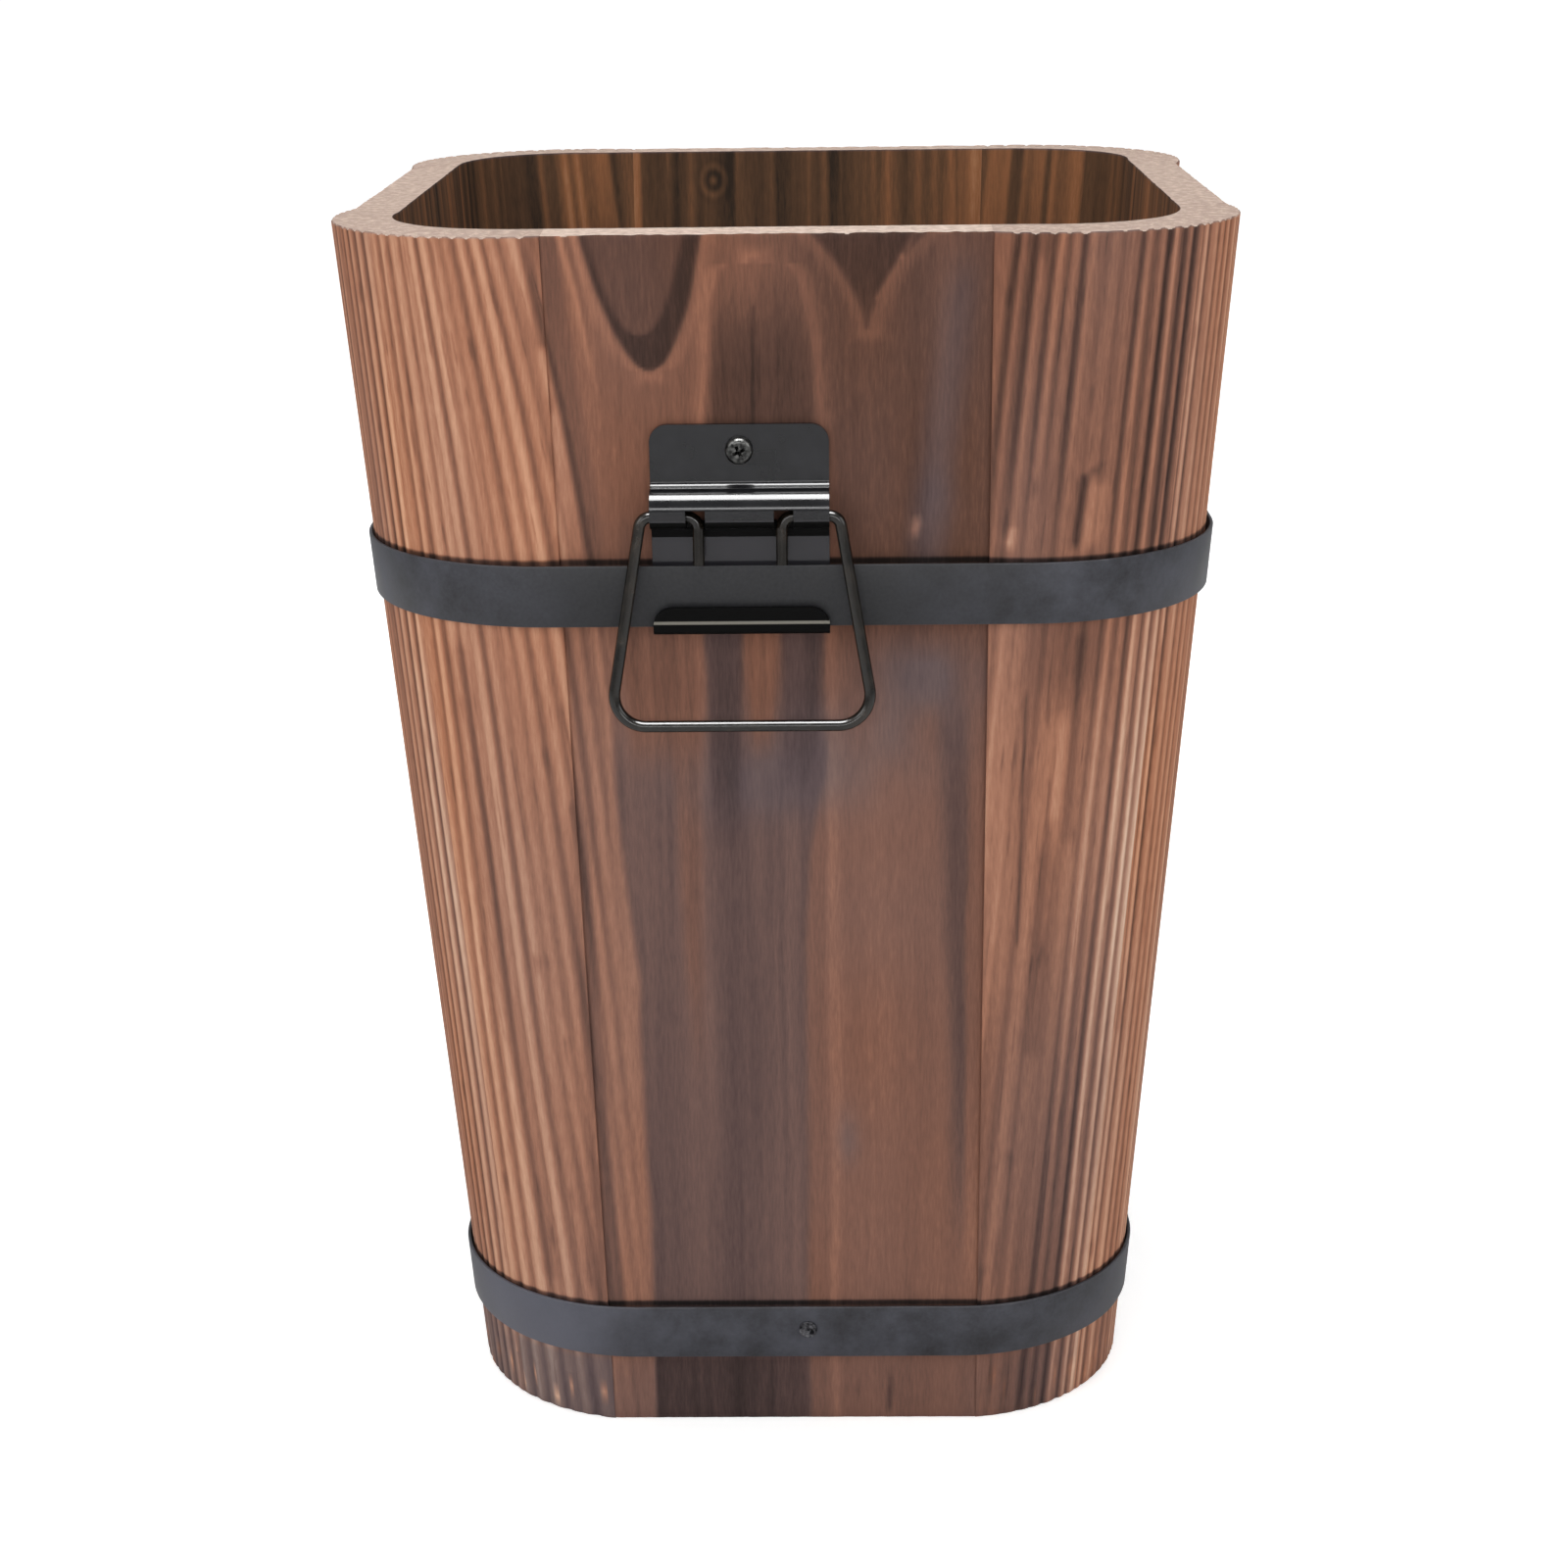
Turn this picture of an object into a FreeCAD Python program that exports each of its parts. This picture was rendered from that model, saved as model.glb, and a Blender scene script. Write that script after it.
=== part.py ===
"""Wooden barrel planter: a tapered, rounded-square stave bucket with two strap hoops and two bail handles.

Millimetres, +Z up. The origin is the middle of the foot, on the ground. The front is -Y.
Each of the four sides is a flat board between two rounded corner staves. A side is modelled once, as the
front, and turned about Z for the other three.
"""
import FreeCAD, Part
import math
import os

import Sketcher

Vector = FreeCAD.Vector
X_AXIS = Vector(1, 0, 0)
Y_AXIS = Vector(0, 1, 0)
Z_AXIS = Vector(0, 0, 1)

# Driving dimensions

SIZES = {
    # shell of staves
    "height": 340.0,
    "top_half": 115.5,             # axis to a board's outer face at the rim
    "foot_half": 94.5,             # the same at the ground
    "corner_bulge_top": 21.9,      # a corner's middle to the chord between the two boards beside it
    "corner_bulge_foot": 9.2,
    "corner_proud": 0.2,           # corner stave to the board's face, at their joint
    "corner_sweep": 80.0,          # degrees that a corner stave is turned before its joint is sawn
    "stave_allowance": 10.0,       # length left at each end of a corner stave before it is sawn
    "board_left_top": 60.0,        # middle of a side to the board's left edge
    "board_left_foot": 53.0,
    "board_right": 51.0,           # middle of a side to the board's right edge, all the way down
    "wall": 16.0,                  # thickness of a corner stave
    "board_wall": 13.6,            # thickness of a board
    # floor
    "floor_height": 14.0,          # ground to the floor's underside
    "floor_thickness": 10.0,
    "croze_depth": 5.0,            # groove in the staves that holds the floor
    "croze_clearance": 0.3,
    "plank_width": 56.0,           # middle plank
    "plank_gap": 0.6,
    "drain_diameter": 15.0,
    # hoops
    "hoop_width": 19.0,
    "hoop_thickness": 1.2,
    "hoop_clearance": 0.3,         # hoop to the corner staves
    "upper_hoop_drop": 99.5,       # rim to the upper hoop's lower edge
    "lower_hoop_height": 22.0,     # ground to the lower hoop's lower edge
    "lap_length": 32.0,            # doubled strap where the ends overlap
    # nails
    "nail_offset": 3.0,            # to the right of the middle of a side
    "nail_head_diameter": 5.0,
    "nail_head_height": 0.8,
    "nail_shank_diameter": 2.0,
    "nail_depth": 11.0,            # into the wood
    "nail_tip": 2.5,
    "nail_clearance": 0.15,        # shank to its hole in the wood on the radius, and head to hoop
    "strap_hole_clearance": 0.45,  # shank to its hole in the hoop, on the radius
    # bracket
    "sheet": 1.2,
    "plate_width": 45.0,
    "plate_rise": 23.0,            # hinge to the plate's top edge
    "plate_corner": 4.5,
    "plate_offset": 12.0,          # bracket to the left of the middle of its side
    "hinge_rise": 10.5,            # upper hoop's upper edge to the hinge
    "hinge_standoff": 3.8,         # board's face to the hinge axis
    "bead_lift": 2.1,              # hinge to the bead's middle: the wire hangs at the bottom of the bead
    "bead_clearance": 0.4,         # wire to the bead and its slots
    "bead_fillet": 1.4,
    "slot_rise": 2.9,              # hinge to the top of the slots
    "hook_lip": 5.8,
    "hook_bend": 0.4,              # inside radius of the hook's two bends
    "lip_corner": 5.0,
    "hook_clearance": 0.3,
    # handle
    "wire": 3.0,
    "bail_top_half": 25.0,
    "bail_bottom_half": 34.0,
    "bail_drop": 53.5,
    "bail_top_radius": 3.0,
    "bail_bottom_radius": 8.0,
    "prong_half": 10.5,            # middle of the bail to a turned-down end
    "prong_drop": 12.3,
    "prong_radius": 3.0,
    "bail_clearance": 0.3,         # resting bail to the hoop
    # bracket screw
    "screw_rise": 16.5,            # hinge to the screw
    "screw_head_diameter": 7.0,
    "screw_head_height": 2.4,
    "screw_head_bevel": 1.2,
    "screw_shank_diameter": 3.5,
    "screw_depth": 11.0,           # into the wood
    "screw_tip": 4.0,
    "screw_clearance": 0.1,        # shank to its holes, on the radius
}

SIDES = {"front": 0, "right": 90, "rear": 180, "left": 270}
HANDLE_SIDES = ("front", "rear")
UPPER_NAIL_SIDES = ("left", "right")
LOWER_NAIL_SIDES = ("front", "right", "rear", "left")
UPPER_LAP_SIDE = "left"
LOWER_LAP_SIDE = "rear"

doc = FreeCAD.newDocument("barrel_planter")
sheet = doc.addObject("Spreadsheet::Sheet", "sizes")
for row, (alias, value) in enumerate(SIZES.items(), start=1):
    sheet.set(f"A{row}", alias)
    sheet.set(f"B{row}", str(value))
    sheet.setAlias(f"B{row}", alias)
doc.recompute()

sub_parts = []

# Formulas: text in which a driving dimension stands in braces


def formula(text):
    return text.format_map({alias: f"sizes.{alias}" for alias in SIZES})


def number(text):
    return float(sheet.evalExpression(formula(text)))


def at_height(foot, top, height):
    """A size that runs straight from the foot to the rim."""
    return f"(({foot}) + (({top}) - ({foot})) * ({height}) / {{height}})"


def half_at(height):
    return at_height("{foot_half}", "{top_half}", height)


def left_edge_at(height):
    return at_height("{board_left_foot}", "{board_left_top}", height)


def arc_centre(edge, half, reach):
    """Middle of the barrel to the centre of a corner's arc, on the corner's diagonal.

    The arc starts beside a board's edge and ends on the diagonal, square to it.
    """
    start = f"({half} + {{corner_proud}})"
    return (f"((({reach})^2 - ({edge})^2 - {start}^2)"
            f" / (2 * ({reach}) - sqrt(2) * (({edge}) + {start})))")


FOOT_REACH = "(({board_left_foot} + {foot_half}) / sqrt(2) + {corner_bulge_foot})"
TOP_REACH = "(({board_left_top} + {top_half}) / sqrt(2) + {corner_bulge_top})"
LEFT, RIGHT = -1, 1
FOOT_CENTRE = {LEFT: arc_centre("{board_left_foot}", "{foot_half}", FOOT_REACH),
               RIGHT: arc_centre("{board_right}", "{foot_half}", FOOT_REACH)}
TOP_CENTRE = {LEFT: arc_centre("{board_left_top}", "{top_half}", TOP_REACH),
              RIGHT: arc_centre("{board_right}", "{top_half}", TOP_REACH)}


def reach_at(height):
    """Middle of the barrel to the outside of a corner, on the diagonal."""
    return at_height(FOOT_REACH, TOP_REACH, height)


def hull_half_at(height):
    """Half the width over the corner staves, which a tight hoop spans."""
    widths = []
    for hand in (LEFT, RIGHT):
        centre = at_height(FOOT_CENTRE[hand], TOP_CENTRE[hand], height)
        widths.append(f"({reach_at(height)} - (1 - 1 / sqrt(2)) * {centre})")
    return f"max({widths[0]}; {widths[1]})"


SLOPE = "atan(({top_half} - {foot_half}) / {height})"
COS_SLOPE = f"cos({SLOPE})"
UPPER_HOOP_LOW = "({height} - {upper_hoop_drop})"
UPPER_HOOP_TOP = f"({UPPER_HOOP_LOW} + {{hoop_width}})"
HINGE_HEIGHT = f"({UPPER_HOOP_TOP} + {{hinge_rise}})"


def hoop_face_at(height, straps=1):
    """Board's face to the hoop's outer face, square to the board."""
    return (f"(({hull_half_at(height)} - {half_at(height)} + {{hoop_clearance}}"
            f" + {straps} * {{hoop_thickness}}) * {COS_SLOPE})")


# Places: formulas too, multiplied from the outermost move inwards


def shift(x="0", y="0", z="0"):
    return f"placement(vector({x}; {y}; {z}); vector(0; 0; 1); 0)"


def tilt(angle):
    """Turn about X."""
    return f"placement(vector(0; 0; 0); vector(1; 0; 0); {angle})"


def turn(side):
    """Turn about Z, from the front to a side."""
    return f"placement(vector(0; 0; 0); vector(0; 0; 1); {SIDES[side]})"


def on_face(side, x, height):
    """Frame on a board's sloping face: X along the side, Z up the slope, -Y out of the wood."""
    return f"{turn(side)} * {shift(x, '-' + half_at(height), height)} * {tilt(SLOPE)}"


# Sketches: a coordinate is a (sign, formula) pair, or None for zero

ORIGIN = (-1, 1)
X_LINE, Y_LINE = range(-1, -3, -1)
START, END, CENTRE = range(1, 4)


def new_body(label, place=None, listed=True):
    body = doc.addObject("PartDesign::Body", label)
    body.Label = label
    if place is not None:
        body.setExpression("Placement", formula(place))
    if listed:
        sub_parts.append(body)
    return body


def group_fasteners(name, bodies):
    """Identical fasteners as one sub-part of separate solids."""
    group = doc.addObject("Part::Compound", name)
    group.Label = name
    group.Links = bodies
    sub_parts.append(group)


def new_sketch(body, plane, offset=None):
    """Sketch on one of the body's own origin planes, moved along the plane's normal."""
    sketch = body.newObject("Sketcher::SketchObject", f"{body.Name}_sketch")
    support = next(f for f in body.Origin.OriginFeatures if f.Role == plane)
    sketch.AttachmentSupport = (support, [""])
    sketch.MapMode = "FlatFace"
    if offset is not None:
        sketch.setExpression("AttachmentOffset.Base.z", formula(offset))
    return sketch


def new_diagonal_sketch(body, hand):
    """Upright sketch on a corner's diagonal plane, with X out to the corner and Y up."""
    sketch = new_sketch(body, "XZ_Plane")
    away = -45 if hand == RIGHT else -135
    sketch.AttachmentOffset = FreeCAD.Placement(Vector(), FreeCAD.Rotation(Y_AXIS, away))
    return sketch


def new_face_sketch(body, height):
    """Sketch on the sloping face of a front board, with its X axis at a height."""
    sketch = new_sketch(body, "XZ_Plane", half_at(height))
    sketch.AttachmentOffset = FreeCAD.Placement(Vector(), FreeCAD.Rotation(X_AXIS, number(SLOPE)))
    sketch.setExpression("AttachmentOffset.Base.y", formula(height))
    sketch.setExpression("AttachmentOffset.Rotation.Angle", formula(SLOPE))
    return sketch


def coordinate_value(coordinate):
    if coordinate is None:
        return 0.0
    sign, text = coordinate
    return sign * number(text)


def vector(point):
    x, y = point
    return Vector(coordinate_value(x), coordinate_value(y), 0)


def bind(sketch, kind, *references, to):
    """Dimension tied to a formula."""
    index = sketch.addConstraint(Sketcher.Constraint(kind, *references, number(to)))
    sketch.setExpression(f"Constraints[{index}]", formula(to))


def tie(sketch, kind, element, end, coordinate):
    """One coordinate of a point, tied to the sketch's origin."""
    if coordinate is None:
        line = Y_LINE if kind == "DistanceX" else X_LINE
        sketch.addConstraint(Sketcher.Constraint("PointOnObject", element, end, line))
        return
    sign, text = coordinate
    if sign > 0:
        bind(sketch, kind, *ORIGIN, element, end, to=text)
    else:
        bind(sketch, kind, element, end, *ORIGIN, to=text)


def tie_point(sketch, element, end, point):
    x, y = point
    tie(sketch, "DistanceX", element, end, x)
    tie(sketch, "DistanceY", element, end, y)


def add_chain(sketch, points, arcs, closed=True):
    """Lines and arcs from point to point.

    arcs gives, for the points that an arc leaves, its centre and whether it runs anticlockwise.
    """
    pieces = []
    pairs = list(zip(points, points[1:] + points[:1])) if closed else list(zip(points, points[1:]))
    for index, (start, end) in enumerate(pairs):
        first, last = vector(start), vector(end)
        if index not in arcs:
            element = sketch.addGeometry(Part.LineSegment(first, last))
            pieces.append((element, START, END))
            continue
        centre, anticlockwise = arcs[index]
        middle = vector(centre)
        circle = Part.Circle(middle, Z_AXIS, (first - middle).Length)
        angles = [math.atan2(p.y - middle.y, p.x - middle.x) for p in (first, last)]
        if not anticlockwise:
            angles.reverse()
        element = sketch.addGeometry(Part.ArcOfCircle(circle, *angles))
        pieces.append((element, START, END) if anticlockwise else (element, END, START))
    followers = pieces[1:] + pieces[:1] if closed else pieces[1:]
    for (element, _, end), (following, start, _) in zip(pieces, followers):
        sketch.addConstraint(Sketcher.Constraint("Coincident", element, end, following, start))
    for (element, start, _), point in zip(pieces, points):
        tie_point(sketch, element, start, point)
    if not closed:
        element, _, end = pieces[-1]
        tie_point(sketch, element, end, points[-1])
    for index, ((centre_x, centre_y), _) in arcs.items():
        first, last = (vector(point) for point in pairs[index])
        if abs(last.x - first.x) > abs(last.y - first.y):
            tie(sketch, "DistanceY", pieces[index][0], CENTRE, centre_y)
        else:
            tie(sketch, "DistanceX", pieces[index][0], CENTRE, centre_x)


def add_rectangle(sketch, left, right, low, high):
    add_chain(sketch, [(left, low), (right, low), (right, high), (left, high)], {})


def add_circle(sketch, centre, diameter):
    circle = sketch.addGeometry(Part.Circle(vector(centre), Z_AXIS, number(diameter) / 2))
    tie_point(sketch, circle, CENTRE, centre)
    bind(sketch, "Diameter", circle, to=diameter)


def add_rounded_square(sketch, half, reach):
    """Square with round corners, given half its width and its reach on the diagonal."""
    flat = f"(({reach} - {half}) / (sqrt(2) - 1))"
    points = []
    arcs = {}
    for x_sign, y_sign, across in ((1, -1, False), (1, 1, True), (-1, 1, False), (-1, -1, True)):
        on_x_side = ((x_sign, half), (y_sign, flat))
        on_y_side = ((x_sign, flat), (y_sign, half))
        arcs[len(points)] = (((x_sign, flat), (y_sign, flat)), True)
        points += [on_x_side, on_y_side] if across else [on_y_side, on_x_side]
    add_chain(sketch, points, arcs)


# Features


def loft(body, low, high, subtract=False):
    kind = "SubtractiveLoft" if subtract else "AdditiveLoft"
    feature = body.newObject(f"PartDesign::{kind}", f"{body.Name}_loft")
    feature.Profile = low
    feature.Sections = [high]
    feature.Ruled = True
    return feature


def pad(body, sketch, length, symmetric=False):
    feature = body.newObject("PartDesign::Pad", f"{body.Name}_pad")
    feature.Profile = sketch
    feature.setExpression("Length", formula(length))
    if symmetric:
        feature.SideType = "Symmetric"
    return feature


def cut(body, sketch, length=None, reverse=False, symmetric=False):
    """Pocket, through all without a length. Stops the build if it removes nothing."""
    doc.recompute()
    before = body.Shape.Volume
    feature = body.newObject("PartDesign::Pocket", f"{body.Name}_pocket")
    feature.Profile = sketch
    if length is None:
        feature.Type = "ThroughAll"
    else:
        feature.setExpression("Length", formula(length))
    feature.Reversed = reverse
    if symmetric:
        feature.SideType = "Symmetric"
    doc.recompute()
    if not body.Shape.Volume < before:
        raise RuntimeError(f"{feature.Name} removes nothing")
    return feature


def revolve(body, sketch, axis="H_Axis", angle="360", reverse=False):
    """Turn a sketch round one of its own axes, its X axis unless another is named."""
    feature = body.newObject("PartDesign::Revolution", f"{body.Name}_revolution")
    feature.Profile = sketch
    feature.ReferenceAxis = (sketch, [axis])
    feature.setExpression("Angle", formula(angle))
    feature.Reversed = reverse
    return feature


def round_edges(body, radius, chosen):
    """Fillet the edges that chosen(middle, direction) accepts, in the body's own frame."""
    doc.recompute()
    base = body.Tip
    names = []
    for index, edge in enumerate(base.Shape.Edges, start=1):
        if not isinstance(edge.Curve, Part.Line):
            continue
        middle = (edge.Vertexes[0].Point + edge.Vertexes[1].Point) * 0.5
        if chosen(middle, edge.Curve.Direction):
            names.append(f"Edge{index}")
    feature = body.newObject("PartDesign::Fillet", f"{body.Name}_fillet")
    feature.Base = (base, names)
    feature.setExpression("Radius", formula(radius))
    return feature


def repeat_about_axis(body, feature, count):
    pattern = body.newObject("PartDesign::PolarPattern", f"{body.Name}_pattern")
    pattern.Originals = [feature]
    axis = next(f for f in body.Origin.OriginFeatures if f.Role == "Z_Axis")
    pattern.Axis = (axis, [""])
    pattern.Angle = 360
    pattern.Occurrences = count
    body.Tip = pattern


def mirror_across_middle(body, feature):
    mirrored = body.newObject("PartDesign::Mirrored", f"{body.Name}_mirrored")
    mirrored.Originals = [feature]
    plane = next(f for f in body.Origin.OriginFeatures if f.Role == "YZ_Plane")
    mirrored.MirrorPlane = (plane, [""])
    body.Tip = mirrored


# Staves


def cut_croze(body):
    """Groove for the floor, cut as the floor's outline with its clearance."""
    sketch = new_sketch(body, "XY_Plane", "{floor_height}")
    add_rounded_square(sketch, CROZE_HALF, CROZE_REACH)
    cut(body, sketch, "{floor_thickness} + {croze_clearance}", reverse=True)


def cut_fastener_hole(body, height, x, rise, diameter, depth):
    sketch = new_face_sketch(body, height)
    add_circle(sketch, (x, rise), diameter)
    cut(body, sketch, depth)


def board_section(body, height):
    half = half_at(height)
    sketch = new_sketch(body, "XY_Plane", height)
    add_rectangle(sketch, (-1, left_edge_at(height)), (1, "{board_right}"),
                  (-1, half), (-1, f"({half} - {{board_wall}})"))
    return sketch


def make_board(side):
    body = new_body(f"{side}_board", turn(side))
    loft(body, board_section(body, "0"), board_section(body, "{height}"))
    cut_croze(body)
    nail_hole = "({nail_shank_diameter} + 2 * {nail_clearance})"
    for sides, height in ((LOWER_NAIL_SIDES, LOWER_NAIL_HEIGHT), (UPPER_NAIL_SIDES, UPPER_NAIL_HEIGHT)):
        if side in sides:
            cut_fastener_hole(body, height, (1, "{nail_offset}"), None, nail_hole,
                              "{nail_depth} + {nail_clearance}")
    if side in HANDLE_SIDES:
        cut_fastener_hole(body, HINGE_HEIGHT, (-1, "{plate_offset}"), (1, "{screw_rise}"),
                          "({screw_shank_diameter} + 2 * {screw_clearance})",
                          "{screw_depth} + {screw_clearance}")


def make_corner_stave(side, hand):
    """Wall turned about the leaning axis of its corner, then sawn to length and along the board's joint."""
    name = "right" if hand == RIGHT else "left"
    body = new_body(f"{side}_corner_stave_{name}", turn(side))
    low, high = "(-{stave_allowance})", "({height} + {stave_allowance})"
    inside = {end: f"({reach_at(end)} - {{wall}})" for end in (low, high)}
    wall = new_diagonal_sketch(body, hand)
    points = [((1, inside[low]), (-1, "{stave_allowance}")), ((1, reach_at(low)), (-1, "{stave_allowance}")),
              ((1, reach_at(high)), (1, high)), ((1, inside[high]), (1, high))]
    add_chain(wall, points, {})
    axis_ends = [((1, FOOT_CENTRE[hand]), None), ((1, TOP_CENTRE[hand]), (1, "{height}"))]
    axis = wall.addGeometry(Part.LineSegment(*[vector(point) for point in axis_ends]), True)
    for end, point in zip((START, END), axis_ends):
        tie_point(wall, axis, end, point)
    revolve(body, wall, "Axis0", "{corner_sweep}", reverse=hand == RIGHT)

    for height, upward in (("0", False), ("{height}", True)):
        waste = new_sketch(body, "XY_Plane", height)
        add_rectangle(waste, (-1, TOP_REACH), (1, TOP_REACH), (-1, TOP_REACH), (1, TOP_REACH))
        cut(body, waste, reverse=upward)
    foot_edge, top_edge = "{board_right}", "{board_right}"
    if hand == LEFT:
        foot_edge, top_edge = "{board_left_foot}", "{board_left_top}"
    joint = new_sketch(body, "XZ_Plane")
    beyond = (-hand, TOP_REACH)
    add_chain(joint, [(beyond, None), ((hand, foot_edge), None), ((hand, top_edge), (1, "{height}")),
                      (beyond, (1, "{height}"))], {})
    cut(body, joint, reverse=True)
    cut_croze(body)


# Floor


def make_middle_plank():
    body = new_body("floor_middle_plank")
    sketch = new_sketch(body, "XY_Plane", "{floor_height}")
    edge = "({plank_width} / 2)"
    add_rectangle(sketch, (-1, edge), (1, edge), (-1, FLOOR_HALF), (1, FLOOR_HALF))
    pad(body, sketch, "{floor_thickness}")
    drain = new_sketch(body, "XY_Plane", "{floor_height}")
    add_circle(drain, (None, None), "{drain_diameter}")
    cut(body, drain, reverse=True)


def make_side_plank(side):
    """Outer plank with the floor's round corners, drawn on the right."""
    body = new_body(f"floor_{side}_plank", turn("front" if side == "right" else "rear"))
    edge = "({plank_width} / 2 + {plank_gap})"
    flat = f"(({FLOOR_REACH} - {FLOOR_HALF}) / (sqrt(2) - 1))"
    points = [((1, edge), (-1, FLOOR_HALF)), ((1, flat), (-1, FLOOR_HALF)),
              ((1, FLOOR_HALF), (-1, flat)), ((1, FLOOR_HALF), (1, flat)),
              ((1, flat), (1, FLOOR_HALF)), ((1, edge), (1, FLOOR_HALF))]
    arcs = {1: (((1, flat), (-1, flat)), True), 3: (((1, flat), (1, flat)), True)}
    sketch = new_sketch(body, "XY_Plane", "{floor_height}")
    add_chain(sketch, points, arcs)
    pad(body, sketch, "{floor_thickness}")


# Hoops


def hoop_section(body, height, straps):
    """Outline of the strap's inside (no strap) or outside (one strap) at a height."""
    grow = f"({{hoop_clearance}} + {straps} * {{hoop_thickness}})"
    sketch = new_sketch(body, "XY_Plane", height)
    add_rounded_square(sketch, f"({hull_half_at(height)} + {grow})", f"({reach_at(height)} + {grow})")
    return sketch


def lap_section(body, height):
    """Second layer of strap where the ends overlap, on the front before the hoop is turned.

    It starts halfway into the first layer, so that the two join, and has the nail in its middle.
    """
    inside = f"({hull_half_at(height)} + {{hoop_clearance}} + {{hoop_thickness}} / 2)"
    outside = f"({hull_half_at(height)} + {{hoop_clearance}} + 2 * {{hoop_thickness}})"
    left, right = "({lap_length} / 2 - {nail_offset})", "({lap_length} / 2 + {nail_offset})"
    sketch = new_sketch(body, "XY_Plane", height)
    add_rectangle(sketch, (-1, left), (1, right), (-1, outside), (-1, inside))
    return sketch


def make_hoop(name, low, nail_sides, lap_side):
    """Strap with a level hole for each nail, wide enough for a nail driven square to the sloping board."""
    body = new_body(name, turn(lap_side))
    high = f"({low} + {{hoop_width}})"
    loft(body, hoop_section(body, low, 1), hoop_section(body, high, 1))
    loft(body, hoop_section(body, low, 0), hoop_section(body, high, 0), subtract=True)
    loft(body, lap_section(body, low), lap_section(body, high))
    hole = new_sketch(body, "XZ_Plane")
    middle = f"({low} + {{hoop_width}} / 2)"
    hole_diameter = "({nail_shank_diameter} + 2 * {strap_hole_clearance})"
    add_circle(hole, ((1, "{nail_offset}"), (1, middle)), hole_diameter)
    pocket = cut(body, hole, reverse=True)
    repeat_about_axis(body, pocket, len(nail_sides))


def make_nail(name, side, height, straps):
    """Flat-headed nail, driven square to the board through one or two layers of strap."""
    body = new_body(f"{name}_{side}", on_face(side, "{nail_offset}", height), listed=False)
    under_head = f"({hoop_face_at(height, straps)} + {{nail_clearance}})"
    head, shank = "({nail_head_diameter} / 2)", "({nail_shank_diameter} / 2)"
    top = f"({under_head} + {{nail_head_height}})"
    points = [((-1, top), None), ((1, "{nail_depth}"), None),
              ((1, "({nail_depth} - {nail_tip})"), (1, shank)), ((-1, under_head), (1, shank)),
              ((-1, under_head), (1, head)), ((-1, top), (1, head))]
    sketch = new_sketch(body, "YZ_Plane")
    add_chain(sketch, points, {})
    revolve(body, sketch)
    return body


def make_nails(name, sides, height, lap_side):
    group_fasteners(name, [make_nail(name, side, height, 2 if side == lap_side else 1) for side in sides])


# Bracket, screw and handle, in the frame of the board's face with the hinge's height as zero


def add_channel(sketch, back, radius):
    """Section of the bead or its tunnel: straight sides and a round front."""
    high, low = (1, f"({radius} + {{bead_lift}})"), (-1, f"({radius} - {{bead_lift}})")
    points = [(back, high), ((-1, "{hinge_standoff}"), high), ((-1, "{hinge_standoff}"), low), (back, low)]
    add_chain(sketch, points, {1: (((-1, "{hinge_standoff}"), (1, "{bead_lift}")), True)})


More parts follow.
